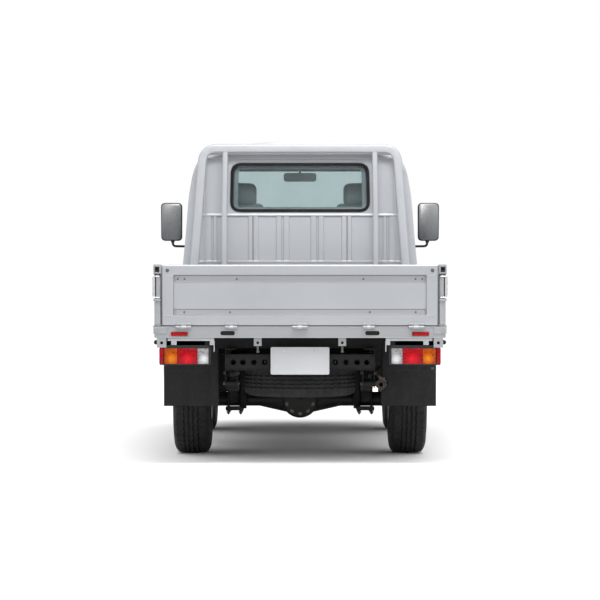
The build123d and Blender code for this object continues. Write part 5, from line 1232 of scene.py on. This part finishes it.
for word, side in SIDES.items():
    body = f"door_{word}"
    panel = caster(body)
    corners = [(0, DOOR_WINDOW_REAR, DOOR_WINDOW_LOW), (0, pillar_y(1.247) - 0.087, DOOR_WINDOW_LOW),
               (0, pillar_y(1.830) - 0.048, DOOR_WINDOW_TOP), (0, DOOR_WINDOW_REAR, DOOR_WINDOW_TOP)]
    inward = (-side, 0, 0)
    outline = [(side * DOOR_X, p.y, p.z) for p in divided(corners, 0.046, 8, 0.05)]
    ring = laid_on(panel, outline, inward, -0.001)
    Shape(f"door_window_rubber_{word}").sweep(ring, circle_section(0.0095, 10), True).done(SEAL_RUBBER, body)
    skin_x = abs(panel((side * 2, 1.02, 1.135), inward).x)
    make(f"door_handle_{word}", BLACK_PLASTIC, [
        ("box", (skin_x - 0.012, 0.960, 1.108), (skin_x + 0.004, 1.105, 1.160), 0.010, 3),
        ("box", (skin_x + 0.006, 0.972, 1.134), (skin_x + 0.016, 1.092, 1.152), 0.006, 3),
        ("box", (skin_x, 0.969, 1.135), (skin_x + 0.012, 0.981, 1.150), 0.003),
        ("box", (skin_x, 1.080, 1.135), (skin_x + 0.012, 1.092, 1.150), 0.003),
        ("rod", (skin_x + 0.002, 0.945, 1.120), (skin_x + 0.007, 0.945, 1.120), 0.011, 24, 0.001),
    ], (side,), body=body)
    crease = laid_on(panel, [(side * DOOR_X, 0.86 + 0.045 * k, 1.055) for k in range(23)], inward, -0.0015)
    moulding = Shape(f"door_moulding_{word}")
    moulding.sweep(crease, oblong_section(0.030, 0.008, 0.0035, 3), up=(side, 0, 0))
    moulding.done(BLACK_PLASTIC, body)
    make(f"door_trim_{word}", TRIM_PLASTIC, [
        ("box", (0.737, 0.93, 0.86), (0.7455, 1.84, 1.215), 0.003),
        ("box", (0.700, 1.245, 1.010), (0.742, 1.50, 1.045), 0.012, 3),
    ], (side,), body=body)

# ---- Front of the cab --------------------------------------------------------------------------
nose = caster("cab_front_panel", "headlamps")
bumper = caster("front_bumper")


def front_mouldings(name, material, cast, strips, lift, steps=24):
    """Mouldings that follow the curved front, each given by its ends' x, its height and its section."""
    shape = Shape(name)
    for x_low, x_high, z, section in strips:
        points = [(x_low + (x_high - x_low) * k / steps, 2.2, z) for k in range(steps + 1)]
        shape.sweep(laid_on(cast, points, BACKWARD, lift), section, up=(0, 1, 0))
    shape.done(material)


SLAT_PITCH = 0.026
slat = oblong_section(0.012, 0.014, 0.004, 2)
front_mouldings("grille_slats", BLACK_PLASTIC, nose,
                [(-0.440, 0.440, 0.755 + SLAT_PITCH * k, slat) for k in range(5)], 0.004)
behind_slats = oblong_section(SLAT_PITCH, 0.006, 0.002, 2)
front_mouldings("grille_backing", SEAL_RUBBER, nose,
                [(-0.445, 0.445, 0.742 + SLAT_PITCH * k, behind_slats) for k in range(6)], 0.0005)
bar = oblong_section(0.014, 0.018, 0.005, 3)
front_mouldings("grille_frame", BRIGHT_SILVER, nose, [(-0.452, 0.452, z, bar) for z in (0.728, 0.885)], 0.003)
bezels = Shape("headlamp_bezels")
for s in BOTH:
    corners = [(s * x, 0, z) for x, z in ((0.469, 0.729), (0.711, 0.729), (0.711, 0.871), (0.469, 0.871))]
    ring = laid_on(nose, [(p.x, 2.0, p.z) for p in divided(corners, 0.024, 6, 0.03)], BACKWARD, 0.001)
    bezels.sweep(ring, circle_section(0.007, 10), True)
bezels.done(BLACK_PLASTIC)
indicator = oblong_section(0.042, 0.014, 0.005, 3)
front_mouldings("front_indicator_lenses", AMBER_LENS, nose,
                [(s * 0.480, s * 0.700, 0.690, indicator) for s in BOTH], 0.004, 12)
wide, narrow = oblong_section(0.020, 0.010, 0.004, 3), oblong_section(0.016, 0.010, 0.004, 3)
front_mouldings("bumper_insert", BLACK_PLASTIC, bumper,
                [(-0.560, 0.560, 0.455, wide), (-0.560, 0.560, 0.485, wide),
                 (-0.700, 0.700, 0.560, narrow)], -0.001)
make("front_plate", PLATE_PAINT, [("box", (-0.1675, 2.2235, 0.395), (0.1675, 2.2265, 0.550), 0.001)])

screen = caster("cab_glass")
for word, foot_x, tip_x in (("left", -0.50, -0.02), ("right", 0.06, 0.53)):
    foot = shell((foot_x, 4, 1.205), BACKWARD)
    middle = screen((foot_x * 0.45 + tip_x * 0.55, 4, 1.33), BACKWARD) + Vector((0, 0.026, 0.010))
    blade = [screen((foot_x + (tip_x - foot_x) * t, 4, 1.275 + 0.11 * t), BACKWARD)
             for t in (0.15, 0.4, 0.65, 0.9, 1.1)]
    blade = [point + Vector((0, 0.010, 0.004)) for point in blade if point is not None]
    wiper = Shape(f"wiper_{word}")
    wiper.rod(foot + Vector((0, -0.01, 0)), foot + Vector((0, 0.018, 0)), 0.013, 20, 0.003)
    wiper.tube([foot + Vector((0, 0.014, 0.004)), middle], 0.0045, sides=10)
    wiper.sweep(blade, oblong_section(0.008, 0.014, 0.003, 2), up=(0, 1, 0))
    wiper.done(BLACK_PLASTIC)

# ---- Cabin -------------------------------------------------------------------------------------
make("instrument_hood", CABIN_PLASTIC, [
    ("box", (0.300, 1.700, 1.205), (0.620, 1.900, 1.275), 0.022, 4),
    ("box", (0.315, 1.690, 1.150), (0.605, 1.745, 1.262), 0.012, 3),
])
make("instrument_dials", BLACK_PLASTIC, [
    ("rod", (x, 1.6885, 1.205), (x, 1.694, 1.205), radius, 40, 0.001)
    for x, radius in ((0.390, 0.042), (0.500, 0.042), (0.570, 0.024))
])
make("dash_panel", BLACK_PLASTIC, [
    ("box", (-0.12, 1.712, 1.010), (0.14, 1.735, 1.190), 0.008, 3),
    *[("rod", (x, 1.700, 1.055), (x, 1.716, 1.055), 0.018, 28, 0.003) for x in (-0.06, 0.01, 0.08)],
    *[("box", (x - 0.055, 1.722, 1.130), (x + 0.035, 1.734, 1.180), 0.004)
      for x in (-0.62, -0.34, 0.20, 0.66)],
    ("box", (-0.62, 1.722, 0.985), (-0.20, 1.733, 1.100), 0.006, 3),
])
make("gear_lever", BLACK_PLASTIC, [
    ("tube", [(0.06, 1.36, 0.93), (0.06, 1.38, 1.06), (0.05, 1.34, 1.16)], 0.007, 0.04, 14),
    ("rod", (0.05, 1.338, 1.155), (0.049, 1.330, 1.195), 0.020, 24, 0.008),
    ("box", (0.00, 1.235, 0.9300), (0.12, 1.300, 0.950), 0.008, 3),
])
make("pedals", BLACK_PLASTIC, [part for x in (0.36, 0.46, 0.55) for part in (
    ("box", (x - 0.028, 1.772, 0.850), (x + 0.028, 1.784, 0.910), 0.004, 3),
    ("tube", [(x, 1.784, 0.885), (x, 1.850, 0.965), (x, 1.880, 1.000)], 0.006, 0.03, 10),
)])
make("floor_mats", FLOOR_RUBBER, [
    ("box", (0.14 + 0.042 * k, 1.33, 0.7745), (0.168 + 0.042 * k, 1.86, 0.7790), 0.0018) for k in range(12)
], BOTH)
# The inner mirror's glass: pale plastic as a painted reflection
make("inner_mirror_glass", PAINTED_LIGHT_PLASTIC, [
    ("box", (-0.112, -0.0022, 1.850), (0.112, 0.001, 1.902), 0.012, 3),
], y=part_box("inner_mirror")[0].y)

# ---- Running gear ------------------------------------------------------------------------------
gear = Shape("axle_and_spring_bolts")
for s in BOTH:
    for dx in (-0.038, 0.038):
        for dy in (-0.056, 0.056):
            gear.bolt((s * SPRING_X + dx, REAR_AXLE_Y + dy, 0.2560), 0.011, 0.010, (0, 0, -1))
            gear.bolt((s * SPRING_X + dx, REAR_AXLE_Y + dy, 0.4190), 0.010, 0.010, (0, 0, 1))
    for y in (REAR_AXLE_Y + 0.575, REAR_AXLE_Y - 0.625):
        for outward in BOTH:
            gear.bolt((s * SPRING_X + outward * 0.036, y, 0.455), 0.013, 0.012, (outward, 0, 0))
            gear.bolt((s * SPRING_X + outward * 0.036, y, 0.515), 0.010, 0.010, (outward, 0, 0))
for k in range(10):
    angle = 2 * pi * (k + 0.5) / 10
    gear.bolt((0.083 * cos(angle), REAR_AXLE_Y - 0.0945, AXLE_Z + 0.083 * sin(angle)), 0.008, 0.007)
gear.done(DARK_STEEL)
cover = Shape("axle_cover")
cover.lathe([(0.0, 0.012), (0.050, 0.010), (0.070, 0.004), (0.098, 0.000), (0.100, -0.006), (0.0, -0.006)],
            (0, REAR_AXLE_Y - 0.0935, AXLE_Z), BACKWARD)
cover.rod((0, REAR_AXLE_Y - 0.104, AXLE_Z), (0, REAR_AXLE_Y - 0.112, AXLE_Z), 0.014, 6, 0.001)
cover.done(CASTING)
clips = []
for x in (-SPRING_X, SPRING_X):
    clips += [("box", (x - 0.034, dy - 0.014, 0.386 + 0.16 * dy * dy),
               (x + 0.034, dy + 0.014, 0.424 + 0.20 * dy * dy), 0.003) for dy in (-0.36, -0.2, 0.2, 0.34)]
    clips += [("rod", (x - 0.02, 0, 0.422), (x - 0.02, 0, 0.470), 0.022, 20, 0.004),
              ("rod", (x - 0.02, 0, 0.470), (x - 0.02, 0, 0.505), 0.030, 20, 0.006)]
make("spring_clips", DARK_STEEL, clips, y=REAR_AXLE_Y)
make("brake_pipes", SEAL_RUBBER, [
    ("tube", [(-0.05, -0.05, 0.382), (-0.25, -0.05, 0.380), (-0.52, -0.03, 0.372)], 0.0035, 0.03, 10),
    ("tube", [(0.05, -0.05, 0.382), (0.25, -0.05, 0.380), (0.52, -0.03, 0.372)], 0.0035, 0.03, 10),
    ("tube", [(0.05, -0.05, 0.382), (0.10, 0.05, 0.44), (0.22, 0.16, 0.58), (0.36, 0.20, 0.60)], 0.006, 0.05),
], y=REAR_AXLE_Y)
straps = Shape("tank_straps")
strap_x = TANK_LOW.x - 0.002
for y in (TANK_LOW.y + 0.12, TANK_HIGH.y - 0.12):
    loop = [(strap_x, y, 0.348), (-0.468, y, 0.348), (-0.468, y, 0.602), (strap_x, y, 0.602)]
    straps.sweep(rounded_path(loop, 0.036, True), oblong_section(0.028, 0.003, 0.001, 1), True)
cap_y = TANK_HIGH.y - 0.07
straps.rod((TANK_LOW.x - 0.001, cap_y, 0.555), (TANK_LOW.x - 0.018, cap_y, 0.555), 0.030, 32, 0.004)
straps.done(DARK_STEEL)


def ring_profile(inner, outer, low, high):
    return [(inner, low), (outer, low), (outer, high), (inner, high)]


muffler = Shape("muffler_bands")
for y in (-0.47, -0.28, -0.12, -0.505, -0.045):
    muffler.lathe([(0.0775, -0.006), (0.0805, -0.004), (0.0805, 0.004), (0.0775, 0.006)], (0.560, y, 0.430),
                  (0, 1, 0), closed=True)
muffler.done(EXHAUST)
flange = Shape("tailpipe_flange_bolts")
for dx in (-0.026, 0.026):
    flange.bolt((TAILPIPE_X + dx, -1.850, TAILPIPE_Z), 0.006, 0.006)
flange.lathe(ring_profile(0.013, 0.019, -0.002, 0.004), (TAILPIPE_X, -1.852, TAILPIPE_Z), BACKWARD, 32, True)
flange.done(EXHAUST)
rims = Shape("crossmember_rims")
for s in BOTH:
    for x in (0.203, 0.264, 0.327, 0.383):
        rims.lathe(ring_profile(0.0155, 0.0185, -0.002, 0.002), (s * x, -2.0865, 0.587), BACKWARD, 28, True)
    for z in (0.560, 0.614):
        rims.bolt((s * 0.415, -2.086, z), 0.008, 0.007)
for z in (0.6285, 0.5415):
    rims.box((-0.43, -2.094, z), (0.43, -2.060, z + 0.004), 0.001)
rims.done(BLACK_CHASSIS)
make("splash_panels", BLACK_CHASSIS, [
    ("box", (0.246, 0.372, 0.345), (0.620, 0.378, 0.545), 0.001),
    ("box", (0.434, 0.372, 0.540), (0.620, 0.378, 0.700), 0.001),
    *[("box", (0.27, 0.368, z - 0.008), (0.60, 0.373, z + 0.008), 0.002) for z in (0.39, 0.45, 0.51)],
], BOTH)
make("rear_dampers", BLACK_CHASSIS, [
    ("rod", (0.352, -0.060, 0.300), (0.350, -0.200, 0.430), 0.024, 24, 0.003),
    ("rod", (0.350, -0.200, 0.430), (0.347, -0.330, 0.553), 0.029, 24, 0.003),
    ("rod", (0.330, -0.052, 0.292), (0.374, -0.052, 0.292), 0.018, 20, 0.003),
    ("rod", (0.352, -0.052, 0.292), (0.352, 0, 0.292), 0.010, 14),
], BOTH, REAR_AXLE_Y)
engine = Shape("engine_details")
engine.box((-0.20, 0.50, 0.372), (0.20, 1.14, 0.402), 0.012, 3)
engine.rod((0.0, 1.262, 0.50), (0.0, 1.285, 0.50), 0.075, 40, 0.004)
engine.rod((0.14, 1.262, 0.66), (0.14, 1.285, 0.66), 0.05, 36, 0.004)
for k in range(7):
    y = 0.56 + 0.085 * k
    for s in BOTH:
        engine.box((s * 0.238, y, 0.45), (s * 0.246, y + 0.04, 0.74), 0.003)
for k in range(8):
    angle = 2 * pi * k / 8
    engine.bolt((0.095 * cos(angle), 0.3405, 0.432 + 0.075 * sin(angle)), 0.007, 0.006)
engine.done(CASTING)
joints = Shape("driveshaft_joints")
for y, z in ((REAR_AXLE_Y + 0.300, 0.336), (0.318, 0.428)):
    joints.rod((-0.040, y, z), (0.040, y, z), 0.012, 18, 0.002)
    joints.rod((0, y, z - 0.040), (0, y, z + 0.040), 0.012, 18, 0.002)
joints.done(DARK_STEEL)

# ---- Camera, floor and light -------------------------------------------------------------------
scene = bpy.context.scene
camera = bpy.data.objects.new("camera", bpy.data.cameras.new("camera"))
scene.collection.objects.link(camera)
camera.location = (0, -13.725, 0.944)
camera.rotation_euler = (pi / 2, 0, 0)
camera.data.lens = 121.9
camera.data.sensor_width = 36
camera.data.clip_end = 100
scene.camera = camera

white = Finish("floor_white", "floor_mat")
tone = white.mix(white.uneven(0.3, 0.0, 1.0), (0.93, 0.93, 0.935), (0.95, 0.95, 0.95))
white.finish(tone, white.uneven(2.0, 0.85, 0.95), Specular_IOR_Level=0.1)
Shape("floor").box((-40, -40, -0.02), (40, 40, 0.0)).done(white.material, ride=False)

# An even studio light: brighter overhead, and plain white to the camera and through the glass
world = bpy.data.worlds.new("soft_studio")
scene.world = world
world.use_nodes = True
sky = world.node_tree
background = sky.nodes["Background"]
up, split, ramp, rays, seen, pick = [sky.nodes.new("ShaderNode" + kind) for kind in (
    "TexCoord", "SeparateXYZ", "MapRange", "LightPath", "Math", "Mix")]
seen.operation = "MAXIMUM"
pick.data_type = "FLOAT"
for source, target in (
    (up.outputs["Generated"], split.inputs[0]), (split.outputs["Z"], ramp.inputs["Value"]),
    (rays.outputs["Is Camera Ray"], seen.inputs[0]), (rays.outputs["Is Transmission Ray"], seen.inputs[1]),
    (seen.outputs[0], pick.inputs[0]), (ramp.outputs["Result"], pick.inputs[2]),
    (pick.outputs[0], background.inputs["Strength"]),
):
    sky.links.new(source, target)
for socket, number in zip(RANGE_SOCKETS, (-0.1, 0.9, 0.36, 1.46)):
    ramp.inputs[socket].default_value = number
pick.inputs[3].default_value = 1.0
background.inputs["Color"].default_value = (1, 1, 1, 1)

for name, place, aim, size, power in (
    ("key_lamp", (-1.5, -6.5, 7.0), (0, -1.0, 0.9), (6.0, 4.0), 105),
    ("fill_lamp", (5.5, -7.0, 3.0), (0, -1.5, 0.9), (4.0, 3.0), 40),
    ("cab_lamp", (0.4, -3.4, 4.2), (0, 0.42, 1.65), (2.6, 0.9), 140),
    ("front_lamp", (2.0, 8.0, 6.0), (0, 1.0, 0.9), (5.0, 4.0), 150),
):
    lamp = bpy.data.objects.new(name, bpy.data.lights.new(name, "AREA"))
    scene.collection.objects.link(lamp)
    lamp.location = place
    lamp.rotation_euler = (Vector(aim) - Vector(place)).to_track_quat("-Z", "Y").to_euler()
    lamp.data.shape = "RECTANGLE"
    lamp.data.size, lamp.data.size_y = size
    lamp.data.energy = power
scene.view_settings.view_transform = "Standard"
